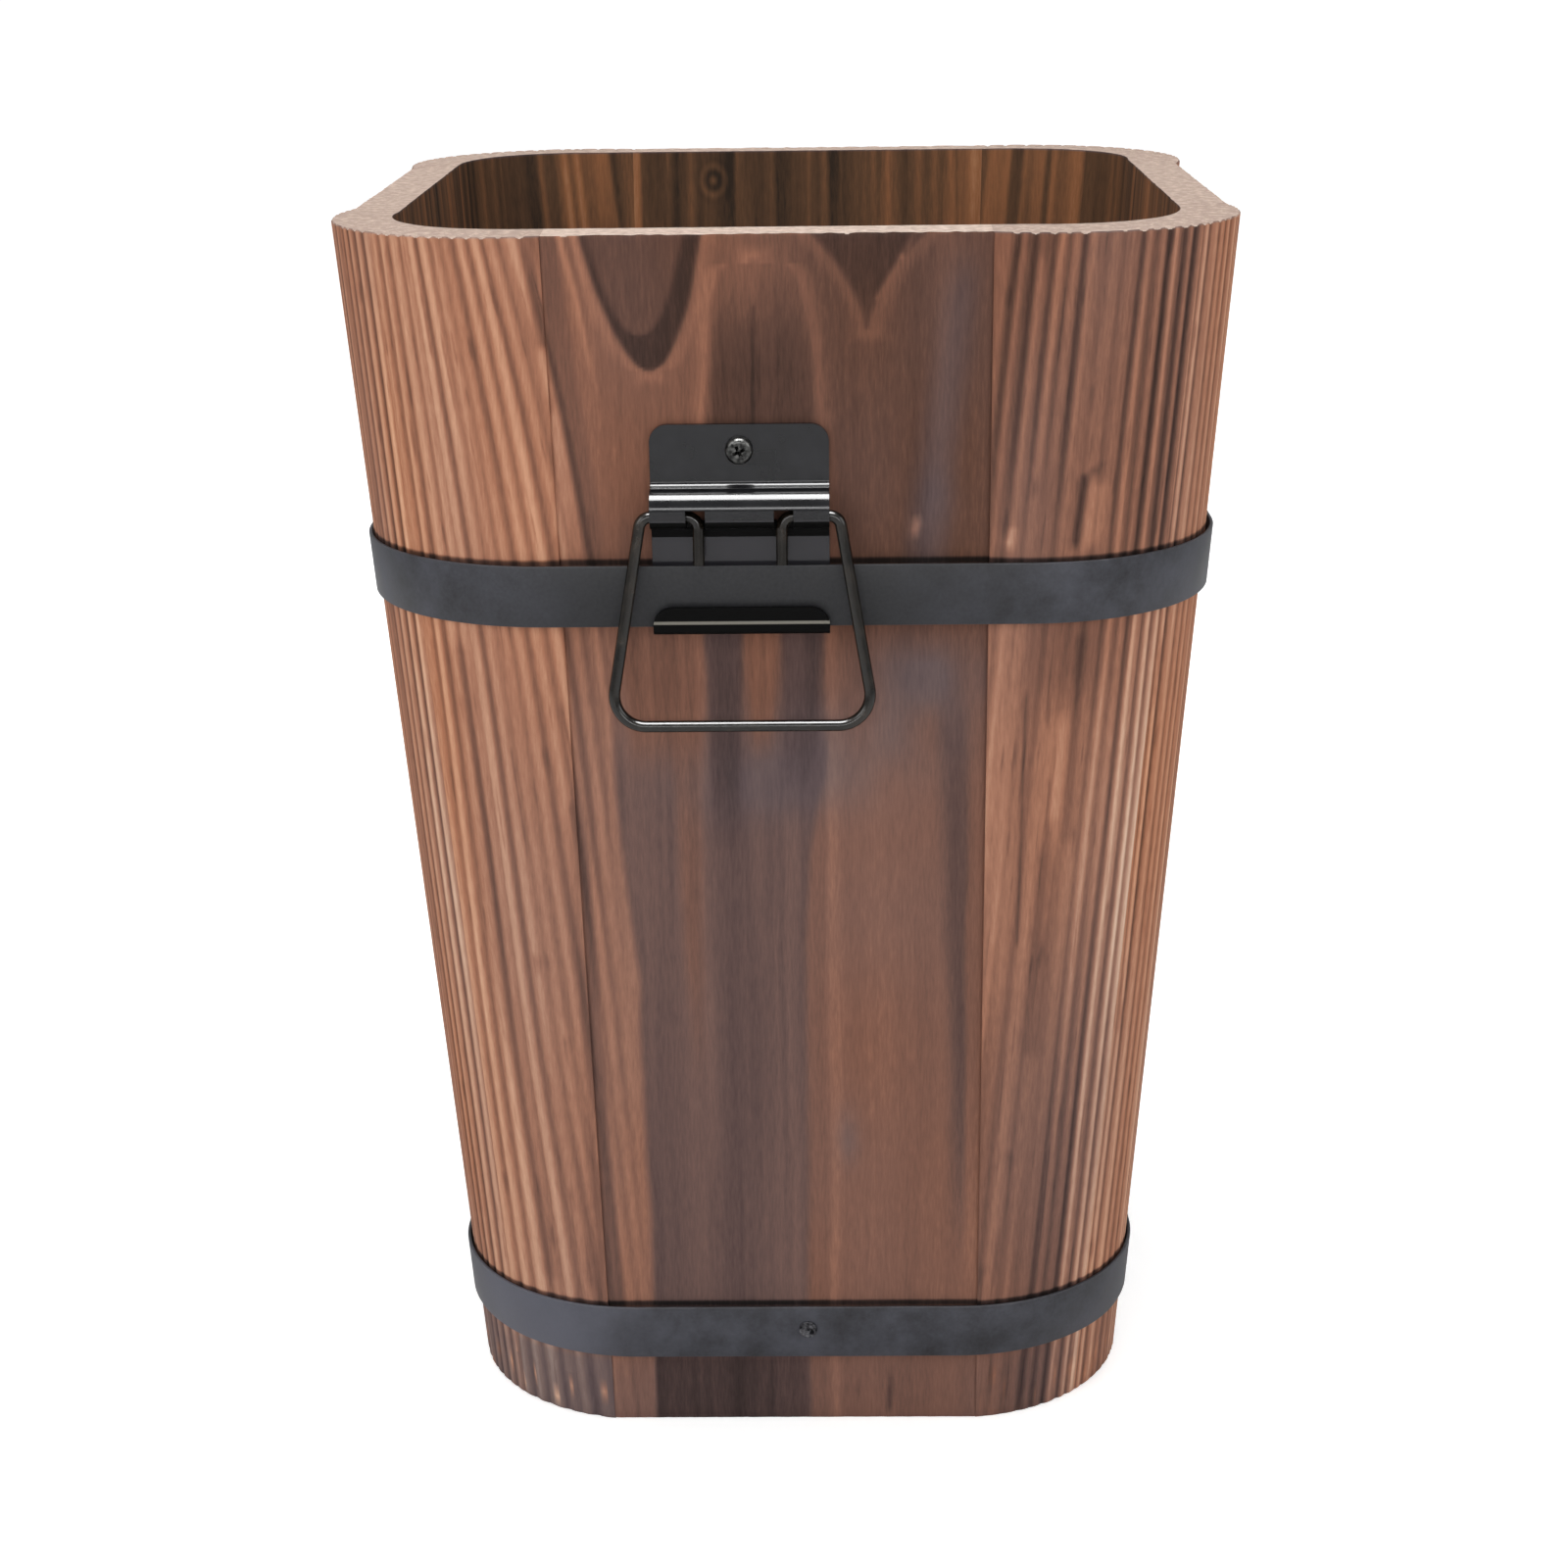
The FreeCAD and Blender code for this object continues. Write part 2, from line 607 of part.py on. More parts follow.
def make_bracket(side):
    """Sheet steel: screw plate, bead round the wire with two slots, and a hook round the hoop's edge."""
    body = new_body(f"{side}_bracket", on_face(side, "-{plate_offset}", HINGE_HEIGHT))
    plate_half = "({plate_width} / 2)"
    plate = new_sketch(body, "XZ_Plane")
    add_rectangle(plate, (-1, plate_half), (1, plate_half), (-1, HOOK_DROP), (1, "{plate_rise}"))
    pad(body, plate, "{sheet}")
    top = number("{plate_rise}")
    round_edges(body, "{plate_corner}",
                lambda middle, way: abs(way.y) > 0.9 and abs(middle.z - top) < 0.01)

    bead = new_sketch(body, "YZ_Plane")
    add_channel(bead, (-1, "({sheet} / 2)"), BEAD_OUTSIDE)
    pad(body, bead, "{plate_width}", symmetric=True)
    bead_middle, bead_half = number("{bead_lift}"), number(BEAD_OUTSIDE)
    front = -number("{sheet}")
    round_edges(body, "{bead_fillet}",
                lambda middle, way: abs(way.x) > 0.9 and abs(middle.y - front) < 0.01
                and abs(abs(middle.z - bead_middle) - bead_half) < 0.01)
    tunnel = new_sketch(body, "YZ_Plane")
    add_channel(tunnel, (1, "{sheet}"), BEAD_INSIDE)
    cut(body, tunnel, "2 * {plate_width}", symmetric=True)

    slot_start = f"({{prong_half}} - {WIRE_ROOM})"
    slot_mouth = f"({{hinge_standoff}} + {BEAD_OUTSIDE} + {{sheet}})"
    slot_back = f"({{hinge_standoff}} - {WIRE_ROOM})"
    slot_foot = f"({BEAD_OUTSIDE} - {{bead_lift}} + {{bead_fillet}})"
    slot = new_sketch(body, "YZ_Plane", slot_start)
    add_rectangle(slot, (-1, slot_mouth), (-1, slot_back), (-1, slot_foot), (1, "{slot_rise}"))
    pocket = cut(body, slot, f"{{prong_half}} + {{prong_radius}} - {slot_start}", reverse=True)
    mirror_across_middle(body, pocket)

    inner, outer = "{hook_bend}", "({hook_bend} + {sheet})"
    near = f"({hoop_face_at(UPPER_HOOP_LOW)} + {{hook_clearance}})"
    far = f"({near} + {{sheet}})"
    drop, lip = (-1, HOOK_DROP), f"({HOOK_DROP} - {{hook_lip}})"
    under, floor = (-1, f"({HOOK_DROP} + {outer})"), (-1, f"({HOOK_DROP} + {inner})")
    back_bend, front_bend = (-1, outer), (-1, f"({far} - {outer})")
    hook = new_sketch(body, "YZ_Plane")
    points = [(None, drop), (back_bend, under), (front_bend, under), ((-1, far), drop),
              ((-1, far), (-1, lip)), ((-1, near), (-1, lip)), ((-1, near), drop), (front_bend, floor),
              (back_bend, floor), ((-1, "{sheet}"), drop)]
    add_chain(hook, points, {0: ((back_bend, drop), False), 2: ((front_bend, drop), False),
                             6: ((front_bend, drop), True), 8: ((back_bend, drop), True)})
    pad(body, hook, "{plate_width}", symmetric=True)
    lip_top = -number(lip)
    round_edges(body, "{lip_corner}",
                lambda middle, way: abs(way.y) > 0.9 and abs(middle.z - lip_top) < 0.01)

    hole = new_sketch(body, "XZ_Plane")
    add_circle(hole, (None, (1, "{screw_rise}")), "({screw_shank_diameter} + 2 * {screw_clearance})")
    cut(body, hole, reverse=True)


def make_screw(side):
    hinge = on_face(side, "-{plate_offset}", HINGE_HEIGHT)
    body = new_body(f"{side}_bracket_screw", f"{hinge} * {shift(z='{screw_rise}')}", listed=False)
    head, shank = "({screw_head_diameter} / 2)", "({screw_shank_diameter} / 2)"
    top = "({sheet} + {screw_head_height})"
    points = [((-1, top), None), ((1, "{screw_depth}"), None),
              ((1, "({screw_depth} - {screw_tip})"), (1, shank)), ((-1, "{sheet}"), (1, shank)),
              ((-1, "{sheet}"), (1, head)), ((-1, f"({top} - {{screw_head_bevel}})"), (1, head)),
              ((-1, top), (1, f"({head} - {{screw_head_bevel}})"))]
    sketch = new_sketch(body, "YZ_Plane")
    add_chain(sketch, points, {})
    revolve(body, sketch)
    return body


def resting_lean():
    """Angle of the hanging bail out from the vertical, where it rests on the hoop's upper edge."""
    hinge_out = f"({half_at(HINGE_HEIGHT)} + {{hinge_standoff}} * {COS_SLOPE})"
    hinge_height = f"({HINGE_HEIGHT} - {{hinge_standoff}} * sin({SLOPE}))"
    edge_out = f"({hull_half_at(UPPER_HOOP_TOP)} + {{hoop_clearance}} + {{hoop_thickness}} - {hinge_out})"
    edge_down = f"({hinge_height} - {UPPER_HOOP_TOP})"
    gap = "({wire} / 2 + {bail_clearance})"
    return f"(atan2({edge_out}; {edge_down}) + asin({gap} / hypot({edge_out}; {edge_down})))"


def make_handle(side):
    """One wire: trapezoid bail on its top bar, with both ends turned down through the bead's slots."""
    hinge = f"{on_face(side, '-{plate_offset}', HINGE_HEIGHT)} * {shift(y='-{hinge_standoff}')}"
    upright = tilt(f"-({SLOPE} + {resting_lean()})")
    body = new_body(f"{side}_handle", f"{hinge} * {upright}")
    spread = "({bail_bottom_half} - {bail_top_half})"
    leg = f"sqrt({spread}^2 + {{bail_drop}}^2)"
    leg_x, leg_y = f"({spread} / {leg})", f"({{bail_drop}} / {leg})"
    top_bend = f"({{bail_top_radius}} * sqrt((1 - {leg_x}) / (1 + {leg_x})))"
    low_bend = f"({{bail_bottom_radius}} * sqrt((1 + {leg_x}) / (1 - {leg_x})))"
    top_x = f"({{bail_top_half}} - {top_bend})"
    low_x = f"({{bail_bottom_half}} - {low_bend})"
    turn_x = "({prong_half} + {prong_radius})"
    half = [("{prong_half}", (-1, "{prong_drop}")), ("{prong_half}", (-1, "{prong_radius}")),
            (turn_x, None), (top_x, None),
            (f"({{bail_top_half}} + {top_bend} * {leg_x})", (-1, f"({top_bend} * {leg_y})")),
            (f"({{bail_bottom_half}} - {low_bend} * {leg_x})",
             (-1, f"({{bail_drop}} - {low_bend} * {leg_y})")),
            (low_x, (-1, "{bail_drop}"))]
    centres = {1: (turn_x, (-1, "{prong_radius}")), 3: (top_x, (-1, "{bail_top_radius}")),
               5: (low_x, (-1, "({bail_drop} - {bail_bottom_radius})"))}
    points = [((-1, x), y) for x, y in half] + [((1, x), y) for x, y in reversed(half)]
    arcs = {}
    for index, (x, y) in centres.items():
        arcs[index] = (((-1, x), y), True)
        arcs[len(points) - 2 - index] = (((1, x), y), True)
    route = new_sketch(body, "XZ_Plane")
    add_chain(route, points, arcs, closed=False)
    section = new_sketch(body, "XY_Plane", "-{prong_drop}")
    add_circle(section, ((-1, "{prong_half}"), None), "{wire}")
    doc.recompute()
    pipe = body.newObject("PartDesign::AdditivePipe", f"{body.Name}_pipe")
    pipe.Profile = section
    pipe.Spine = (route, [f"Edge{index + 1}" for index in range(len(points) - 1)])


# Shared fits

CROZE_HALF = f"({half_at('{floor_height}')} - {{wall}} + {{croze_depth}})"
CROZE_REACH = f"({reach_at('{floor_height}')} - {{wall}} + {{croze_depth}})"
FLOOR_HALF = f"({CROZE_HALF} - {{croze_clearance}})"
FLOOR_REACH = f"({CROZE_REACH} - {{croze_clearance}})"
UPPER_NAIL_HEIGHT = f"({UPPER_HOOP_LOW} + {{hoop_width}} / 2)"
LOWER_NAIL_HEIGHT = "({lower_hoop_height} + {hoop_width} / 2)"
WIRE_ROOM = "({wire} / 2 + {bead_clearance})"
BEAD_INSIDE = f"({WIRE_ROOM} + {{bead_lift}})"
BEAD_OUTSIDE = f"({BEAD_INSIDE} + {{sheet}})"
HOOK_DROP = f"(({{hoop_width}} + {{hinge_rise}}) / {COS_SLOPE} + {{hook_clearance}} - {{hook_bend}})"

# The planter

for side in SIDES:
    make_board(side)
    make_corner_stave(side, LEFT)
    make_corner_stave(side, RIGHT)
make_middle_plank()
make_side_plank("left")
make_side_plank("right")
make_hoop("upper_hoop", UPPER_HOOP_LOW, UPPER_NAIL_SIDES, UPPER_LAP_SIDE)
make_hoop("lower_hoop", "{lower_hoop_height}", LOWER_NAIL_SIDES, LOWER_LAP_SIDE)
make_nails("upper_hoop_nails", UPPER_NAIL_SIDES, UPPER_NAIL_HEIGHT, UPPER_LAP_SIDE)
make_nails("lower_hoop_nails", LOWER_NAIL_SIDES, LOWER_NAIL_HEIGHT, LOWER_LAP_SIDE)
for side in HANDLE_SIDES:
    make_bracket(side)
    make_handle(side)
group_fasteners("bracket_screws", [make_screw(side) for side in HANDLE_SIDES])
doc.recompute()

# Check and write

for item in doc.Objects:
    if "Invalid" in item.State or "Error" in item.State:
        raise RuntimeError(f"{item.Label} failed: {item.State}")
os.makedirs("parts", exist_ok=True)
for part in sub_parts:
    shape = part.Shape
    if shape.isNull() or not shape.isValid() or not shape.Solids:
        raise RuntimeError(f"{part.Label} has no valid solid")
for part in sub_parts:
    part.Shape.exportStep(f"parts/{part.Label}.step")
    print(f"{part.Label}: {len(part.Shape.Solids)} solid(s), {part.Shape.Volume:.0f} mm3")
print(f"bail leans {number(resting_lean()):.2f} degrees")
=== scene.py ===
# %% [markdown]
# # A charred wood barrel planter
# This lesson dresses a finished CAD model of a stave planter. The planter is four flat-sawn boards and
# eight rounded corner staves, held by two strap hoops, with a wire bail on a stamped bracket at the front
# and the back. The CAD parts are loaded as a fixed frame in metres. The wood is built again here, because
# a brushed and burnt surface is what the eye reads first, and a smooth solid can't show it.

import math
from contextlib import contextmanager

import bpy
import numpy as np
from mathutils import Matrix, Vector


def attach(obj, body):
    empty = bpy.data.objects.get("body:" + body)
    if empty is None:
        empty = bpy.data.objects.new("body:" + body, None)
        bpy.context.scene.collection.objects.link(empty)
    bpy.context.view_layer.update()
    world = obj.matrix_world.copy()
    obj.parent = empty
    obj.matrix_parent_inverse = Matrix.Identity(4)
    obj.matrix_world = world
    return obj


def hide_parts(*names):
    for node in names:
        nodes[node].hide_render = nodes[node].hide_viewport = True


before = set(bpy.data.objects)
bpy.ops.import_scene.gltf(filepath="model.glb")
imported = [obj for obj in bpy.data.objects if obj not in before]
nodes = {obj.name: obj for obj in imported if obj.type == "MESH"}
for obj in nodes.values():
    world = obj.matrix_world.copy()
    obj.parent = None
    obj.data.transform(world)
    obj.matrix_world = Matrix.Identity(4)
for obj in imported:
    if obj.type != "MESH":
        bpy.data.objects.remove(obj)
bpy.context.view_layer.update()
bpy.ops.object.select_all(action="DESELECT")
MM = 0.001

# %% [markdown]
# ## The maker's sizes
# A stave is sawn from a blank and fitted to the barrel, so its shape follows from a few numbers: how far
# a board stands from the middle at the foot and at the rim, how far a corner reaches, and where the
# joints run. Everything below is in millimetres in the frame of the front side, with the front towards
# -Y, and is turned about Z for the other sides.

# %% Barrel sizes
HEIGHT = 340.0
STAVE_WALL, BOARD_WALL = 16.0, 13.6
FOOT_HALF, RIM_HALF = 94.5, 115.5
LEFT_EDGE_FOOT, LEFT_EDGE_RIM, RIGHT_EDGE = 53.0, 60.0, 51.0
JOINT_EDGES = {"left": (LEFT_EDGE_FOOT, LEFT_EDGE_RIM), "right": (RIGHT_EDGE, RIGHT_EDGE)}
CORNER_PROUD = 0.2
FOOT_BULGE, RIM_BULGE = 9.2, 21.9
FOOT_REACH = (LEFT_EDGE_FOOT + FOOT_HALF) / math.sqrt(2) + FOOT_BULGE
RIM_REACH = (LEFT_EDGE_RIM + RIM_HALF) / math.sqrt(2) + RIM_BULGE
SIDE_TURN = {"front": 0, "right": 90, "rear": 180, "left": 270}


def between(foot, rim, height):
    """Size at a height, from the sizes at the foot and at the rim."""
    return foot + (rim - foot) * height / HEIGHT


def arc_centre(edge, half, reach):
    """Middle of the barrel to the centre of a corner's arc, along the corner's diagonal."""
    start = half + CORNER_PROUD
    return (reach ** 2 - edge ** 2 - start ** 2) / (2 * reach - math.sqrt(2) * (edge + start))


ARC_CENTRES = {hand: (arc_centre(foot, FOOT_HALF, FOOT_REACH), arc_centre(rim, RIM_HALF, RIM_REACH))
               for hand, (foot, rim) in JOINT_EDGES.items()}


def turned(x, y, side):
    """A place on the front, carried round to another side."""
    angle = math.radians(SIDE_TURN[side])
    return x * math.cos(angle) - y * math.sin(angle), x * math.sin(angle) + y * math.cos(angle)


print("corner arcs", {hand: [round(c, 1) for c in pair] for hand, pair in ARC_CENTRES.items()})

# %% [markdown]
# ## Starting a piece
# Two moves begin almost every piece below. A primitive is added with nothing else selected, and it is then
# worked on in edit mode. Each move gets a short function, so a piece's own code shows only what is special
# about it.

# %% Starting and editing


def only_select(piece):
    bpy.ops.object.select_all(action="DESELECT")
    piece.select_set(True)
    bpy.context.view_layer.objects.active = piece


def start_piece(add_primitive, name, **sizes):
    """New piece from one of Blender's primitives, with its place kept in its mesh."""
    bpy.ops.object.select_all(action="DESELECT")
    add_primitive(**sizes)
    piece = bpy.context.active_object
    piece.name = name
    bpy.ops.object.transform_apply(location=True, rotation=False, scale=False)
    return piece


@contextmanager
def editing(piece):
    """Edit mode with the whole piece selected, and object mode again afterwards."""
    only_select(piece)
    bpy.ops.object.mode_set(mode="EDIT")
    bpy.ops.mesh.select_all(action="SELECT")
    yield
    bpy.ops.object.mode_set(mode="OBJECT")


print(len(bpy.context.selected_objects), "objects selected at the start")

# %% [markdown]
# ## Sawing a blank
# Each piece of wood starts as a blank: a flat grid, extruded to a plate. The grid gives the many small
# faces that ribs and worn edges need, and the extrusion closes the plate. Its three coordinates are
# then read as place across the piece, place along it and depth into it. The rows lie closer together near
# the rim, where the figure is finest, and along the hoops. The faces of the inner side get the second of
# the piece's two materials, because nobody brushes the inside of a planter.

# %% Blank and finishing cut
HOOP_TOPS = (38.4, 256.9)
# Steps of the painted shade line above each hoop, in mm from the hoop's top.
GAP_SHADE_STEPS = (-1.2, -0.4, 0.5, 1.3)
FOOT_ROWS, RIM_ROWS = [0, 0.6, 4, 9, 13.6, 13.8, 19, 24.2, 24.4], [339.3, 340]
HOOP_ROWS = [top + step for top in HOOP_TOPS for step in GAP_SHADE_STEPS]
BODY_ROWS = [np.arange(28, 264, 3.0), np.arange(265, 303, 1.5), np.arange(303, 339, 0.75)]
ROW_HEIGHTS = np.sort(np.concatenate([FOOT_ROWS, *BODY_ROWS, HOOP_ROWS, RIM_ROWS]))
LAST_ROW = len(ROW_HEIGHTS) - 1
CROZE_LOW, CROZE_HIGH, CROZE_DEPTH = 13.7, 24.3, 5.0
WOOD_SMOOTHING = 50


def read_places(piece):
    """Places of a piece's vertices, one row of x, y and z for each."""
    places = np.empty(len(piece.data.vertices) * 3)
    piece.data.vertices.foreach_get("co", places)
    return places.reshape(-1, 3)


def set_places(piece, x, y, z):
    """Moves a piece's vertices to places in mm."""
    piece.data.vertices.foreach_set("co", (np.stack([x, y, z], axis=1) * MM).ravel())


def saw_blank(name, columns):
    """Plate of faces, with each vertex's column number, row number and whether it is on the inner side."""
    blank = start_piece(bpy.ops.mesh.primitive_grid_add, name, x_subdivisions=columns,
                        y_subdivisions=LAST_ROW, size=1)
    with editing(blank):
        bpy.ops.mesh.extrude_region_move(TRANSFORM_OT_translate={"value": (0, 0, 1)})
    place = read_places(blank)
    column = np.rint((place[:, 0] + 0.5) * columns).astype(int)
    row = np.rint((place[:, 1] + 0.5) * LAST_ROW).astype(int)
    return blank, column, row, place[:, 2] > 0.5


def in_croze(z):
    """Whether a height lies in the groove that is cut round the inside for the floor."""
    return (z > CROZE_LOW) & (z < CROZE_HIGH)


def worn_off(row, column, columns, at_ends, at_sides):
    """Wood worn off the two ends and the two sides of a blank, in mm."""
    ends = (row == 0) | (row == LAST_ROW)
    return at_ends * ends + at_sides * (column % columns == 0)


def shape_blank(blank, x, y, z, side, tone, smoke_and_cool_light, inside):
    """Moves the blank's vertices to their place on a side and keeps its burn on it, as two attributes."""
    set_places(blank, *turned(x, y, side), z)
    for name, values in (("tone", tone), ("smoke_and_cool_light", smoke_and_cool_light)):
        layer = blank.data.attributes.new(name, "FLOAT", "POINT")
        layer.data.foreach_set("value", np.clip(values, 0, 1).astype(np.float32))
    corners = np.empty(len(blank.data.loops), dtype=np.int32)
    blank.data.loops.foreach_get("vertex_index", corners)
    inner_faces = inside[corners.reshape(-1, 4)].all(axis=1)
    blank.data.polygons.foreach_set("material_index", inner_faces.astype(np.int32))
    with editing(blank):
        bpy.ops.mesh.normals_make_consistent(inside=False)
    bpy.ops.object.shade_smooth_by_angle(angle=math.radians(WOOD_SMOOTHING))


print(len(ROW_HEIGHTS), "rows in every blank")

# %% [markdown]
# ## Chance in the wood
# Wood never repeats, yet the lesson has to give the same barrel each time it runs. A seeded table of
# random numbers with soft steps between them gives both. Its arguments are counted in wavelengths, so a
# streak that is 7 mm wide and 160 mm long is asked for as across / 7 and along / 160.

# %% Soft random streaks
TABLE_SIZE = 256


def wander(seed, across, along=0.0):
    """Smooth random number from -1 to 1."""
    table = np.random.default_rng(seed).uniform(-1, 1, (TABLE_SIZE, TABLE_SIZE))
    across, along = np.broadcast_arrays(np.asarray(across, float), np.asarray(along, float))
    column, row = np.floor(across).astype(int), np.floor(along).astype(int)
    right, up = across - column, along - row
    right, up = right * right * (3 - 2 * right), up * up * (3 - 2 * up)

    def level(row):
        start, end = (table[row % TABLE_SIZE, place % TABLE_SIZE] for place in (column, column + 1))
        return start * (1 - right) + end * right

    return level(row) * (1 - up) + level(row + 1) * up


def ease(start, end, value):
    """0 before start, 1 after end, and a soft step between them."""
    share = np.clip((value - start) / (end - start), 0, 1)
    return share * share * (3 - 2 * share)


def along_list(places, value):
    """Value read from a list of (place, amount) pairs, straight between them."""
    return np.interp(value, *zip(*places))


def scratch(x, z, marks):
    """Sum of small marks, each a soft line from (x, z) to (x, z) with a half width and a change of tone."""
    total = np.zeros_like(x)
    for start_x, start_z, end_x, end_z, half_width, change in marks:
        run_x, run_z = end_x - start_x, end_z - start_z
        length = run_x ** 2 + run_z ** 2
        share = np.clip(((x - start_x) * run_x + (z - start_z) * run_z) / length, 0, 1)
        away = np.hypot(x - start_x - share * run_x, z - start_z - share * run_z)
        total += change * np.exp(-(away / half_width) ** 2)
    return total


print("a streak at 7 mm:", round(float(wander(1, 7 / 5, 0)), 3))

# %% [markdown]
# ## Wire-brushed ribs
# The corner staves are softwood, burnt and then scrubbed with a wire brush. The brush takes the soft
# spring wood and leaves the hard summer wood standing as pale ribs, with a line of char in the groove
# beside each, darkened further as painted shade on the rib's shadow side. A bump map would leave the
# outline smooth, and on the planter the rim and the corners are plainly serrated, so the ribs are cut into
# the blank.

# %% Ribs and grooves
RIB_DEPTH = 0.68
RIB_OFFSET, RIB_WIDTH = 1.9, 0.85
GROOVE_COUNT, FIRST_GROOVE = 40, -8
SPACING_SPREAD, DEPTH_SPREAD = (0.6, 1.5), (0.4, 1.0)
UPPER_PART = (256, 300)


def groove_places(look):
    """Places of the grooves across a stave, in mm from the corner's diagonal, and how deep each is."""
    if "grooves" in look:
        return np.array(look["grooves"]).T
    chance = np.random.default_rng(look["seed"])
    places = np.cumsum(chance.uniform(*SPACING_SPREAD, GROOVE_COUNT) * look["spacing"]) + FIRST_GROOVE
    return places, chance.uniform(*DEPTH_SPREAD, len(places))


def brushed_ribs(look, across, z):
    """Height of the pale ribs and depth of the charred grooves beside them, both from 0 to 1."""
    seed = look["seed"]
    places, depths = groove_places(look)
    across = across + 0.4 * wander(seed + 1, z / 120) + 0.3 * wander(seed + 2, across / 9, z / 60)
    nearest = np.searchsorted((places[1:] + places[:-1]) / 2, across)
    following = np.minimum(np.searchsorted(places, across), len(places) - 1)
    groove = np.exp(-((across - places[nearest]) / look["groove"]) ** 2)
    groove *= depths[nearest] * (0.75 + 0.25 * wander(seed + 3, nearest * 3.7, z / 80))
    rib = np.exp(-((places[following] - across - RIB_OFFSET) / RIB_WIDTH) ** 2)
    rib *= depths[following] * (0.75 + 0.25 * wander(seed + 9, following * 3.7, z / 80))
    if "upper_only" in look:
        fading = np.where(places[nearest] > look["upper_only"], 0.3 + 0.7 * ease(*UPPER_PART, z), 1)
        return rib * fading, groove * fading
    return rib, groove


def hoop_gap_shade(z):
    """Painted shade: dark line on the wood along the top of each hoop, where the gap under the strap's edge
    lies in shadow, from 0 to 1.
    """
    start, full, fading, end = GAP_SHADE_STEPS
    return sum(ease(top + start, top + full, z) * (1 - ease(top + fading, top + end, z))
               for top in HOOP_TOPS)


# These are the painted shade lines above the hoops.
print("lines of dirt at", HOOP_TOPS, "mm")

# %% [markdown]
# ## Corner staves
# A corner is two staves that meet on its diagonal. Each is bent round a leaning axis, so at every height
# its outside is an arc from the diagonal to the joint with the flat board. The ribs run beside the
# diagonal. Near the joint the grain may lean, and then the ribs drift over the joint on to the board, as
# they do where both pieces were brushed together.

# %% Shape of a corner
STAVE_LEAN = 0.9955
DRIFT_HEIGHT = 70.0
WIDEST_ANGLE, HALVINGS = math.radians(100), 40


def on_arc(angle, centre, radius):
    """Place on a corner's arc, on the front right, from its angle off the diagonal."""
    out = centre + radius * np.cos(angle)
    aside = STAVE_LEAN * radius * np.sin(angle)
    return (out - aside) / math.sqrt(2), -(out + aside) / math.sqrt(2)


def joint_angle(edge, centre, radius):
    """Angle off the diagonal at which the arc meets the board's joint, found by halving."""
    low, high = np.zeros_like(centre), np.full_like(centre, WIDEST_ANGLE)
    for _ in range(HALVINGS):
        middle = (low + high) / 2
        outside = on_arc(middle, centre, radius)[0] > edge
        low, high = np.where(outside, middle, low), np.where(outside, high, middle)
    return (low + high) / 2


def joint_edge(hand, z):
    """Middle of a side to the joint beside its left or right corner stave."""
    return between(*JOINT_EDGES[hand], z)


def across_ribs(look, hand, z, share):
    """Place across the ribs: its run from the diagonal, less the drift of the leaning grain.

    The share counts from 0 at the joint to 1 at the diagonal, and is below 0 on the board.
    """
    centre = between(*ARC_CENTRES[hand], z)
    radius = between(FOOT_REACH, RIM_REACH, z) - centre
    run = radius * joint_angle(joint_edge(hand, z), centre, radius)
    drift = look["lean"] * (1 - np.exp((z - HEIGHT) / DRIFT_HEIGHT))
    return run * (1 - share) - drift * np.minimum(1 - share, 1), run


print("joints at the rim:", {hand: joint_edge(hand, HEIGHT) for hand in JOINT_EDGES})

# %% [markdown]
# Every stave has its own look: how pale it is, how far apart its grooves are, where along its width the
# brush bit, how sooty its foot is and how much painted shade darkens it, and how much painted cool light
# tint it carries. The two staves seen at the front follow the real ones. The left
# one is pale with thin ribs that lean over the joint and a grey streak down its middle. The right one is
# brown, with broad dark grooves beside the joint, a smooth strip, then tan ribs towards the corner, and a
# torn knot above the hoop. The others are plain, with a few changes each. A groove is a pair of its place
# and its depth, and a mark is a short line with a half width and a change of tone.

# %% Looks of the staves
RIBBED_ALL = [(0, 0.85), (1, 1)]
RIBBED_ENDS = [(0, 1), (0.4, 0.9), (0.5, 0.25), (0.64, 0.3), (0.74, 1), (1, 1)]
LEFT_GROOVES = [
    (-6, 0.6), (-2, 0.6), (2.6, 0.7), (5.8, 1.0), (9.8, 0.8), (12.6, 0.3), (15.2, 1.0), (19, 0.6),
    (21.8, 0.45), (25, 0.6), (28.8, 0.7), (32.7, 1.0), (36.9, 0.5), (42, 0.8), (53.4, 0.8), (70, 0)]
RIGHT_GROOVES = [
    (-6, 0.6), (-2, 0.7), (2.6, 0.8), (6, 1.0), (11.1, 0.95), (15, 0.35), (18.9, 0.55), (23.8, 0.2),
    (28.4, 0.25), (34, 0.8), (38, 0.4), (41.6, 0.65), (46.2, 0.65), (50.8, 0.6), (60, 0)]
LEFT_MARKS = [(-85.6, 232, -70, 46, 2.8, -0.12), (-57.4, 190, -55, 40, 1.7, -0.13),
              (-62.4, 340, -60.4, 314, 2.0, -0.2)]
RIGHT_MARKS = [
    (74.5, 278, 72.6, 262, 1.2, -0.3), (78, 275, 76.5, 262, 2.4, 0.16), (76, 279.5, 79, 281, 0.8, -0.12),
    (67, 150, 66, 143, 0.8, -0.12), (55.5, 262, 56.5, 264, 1.4, 0.25), (73, 242, 72, 228, 9, -0.13),
    (70, 212, 68.5, 188, 2.2, 0.1), (60.9, 222, 60, 150, 0.5, -0.16), (67, 176, 64.5, 118, 2.4, -0.11),
    (75, 236, 72.8, 180, 1.5, -0.11)]
PLAIN_LOOK = dict(groove=0.6, ribbed=RIBBED_ALL, pale=0.26, char=0.36, edge=0.0, waist=0.0, outer=0.0,
                  soot=0.2, bloom=0.0, low_bloom=0.12, inner=[(0, 0.42), (0.5, 0.34), (1, 0.38)], marks=[])


def stave_look(seed, tone, lean, **changes):
    return {**PLAIN_LOOK, "seed": seed, "tone": tone, "lean": lean, **changes}


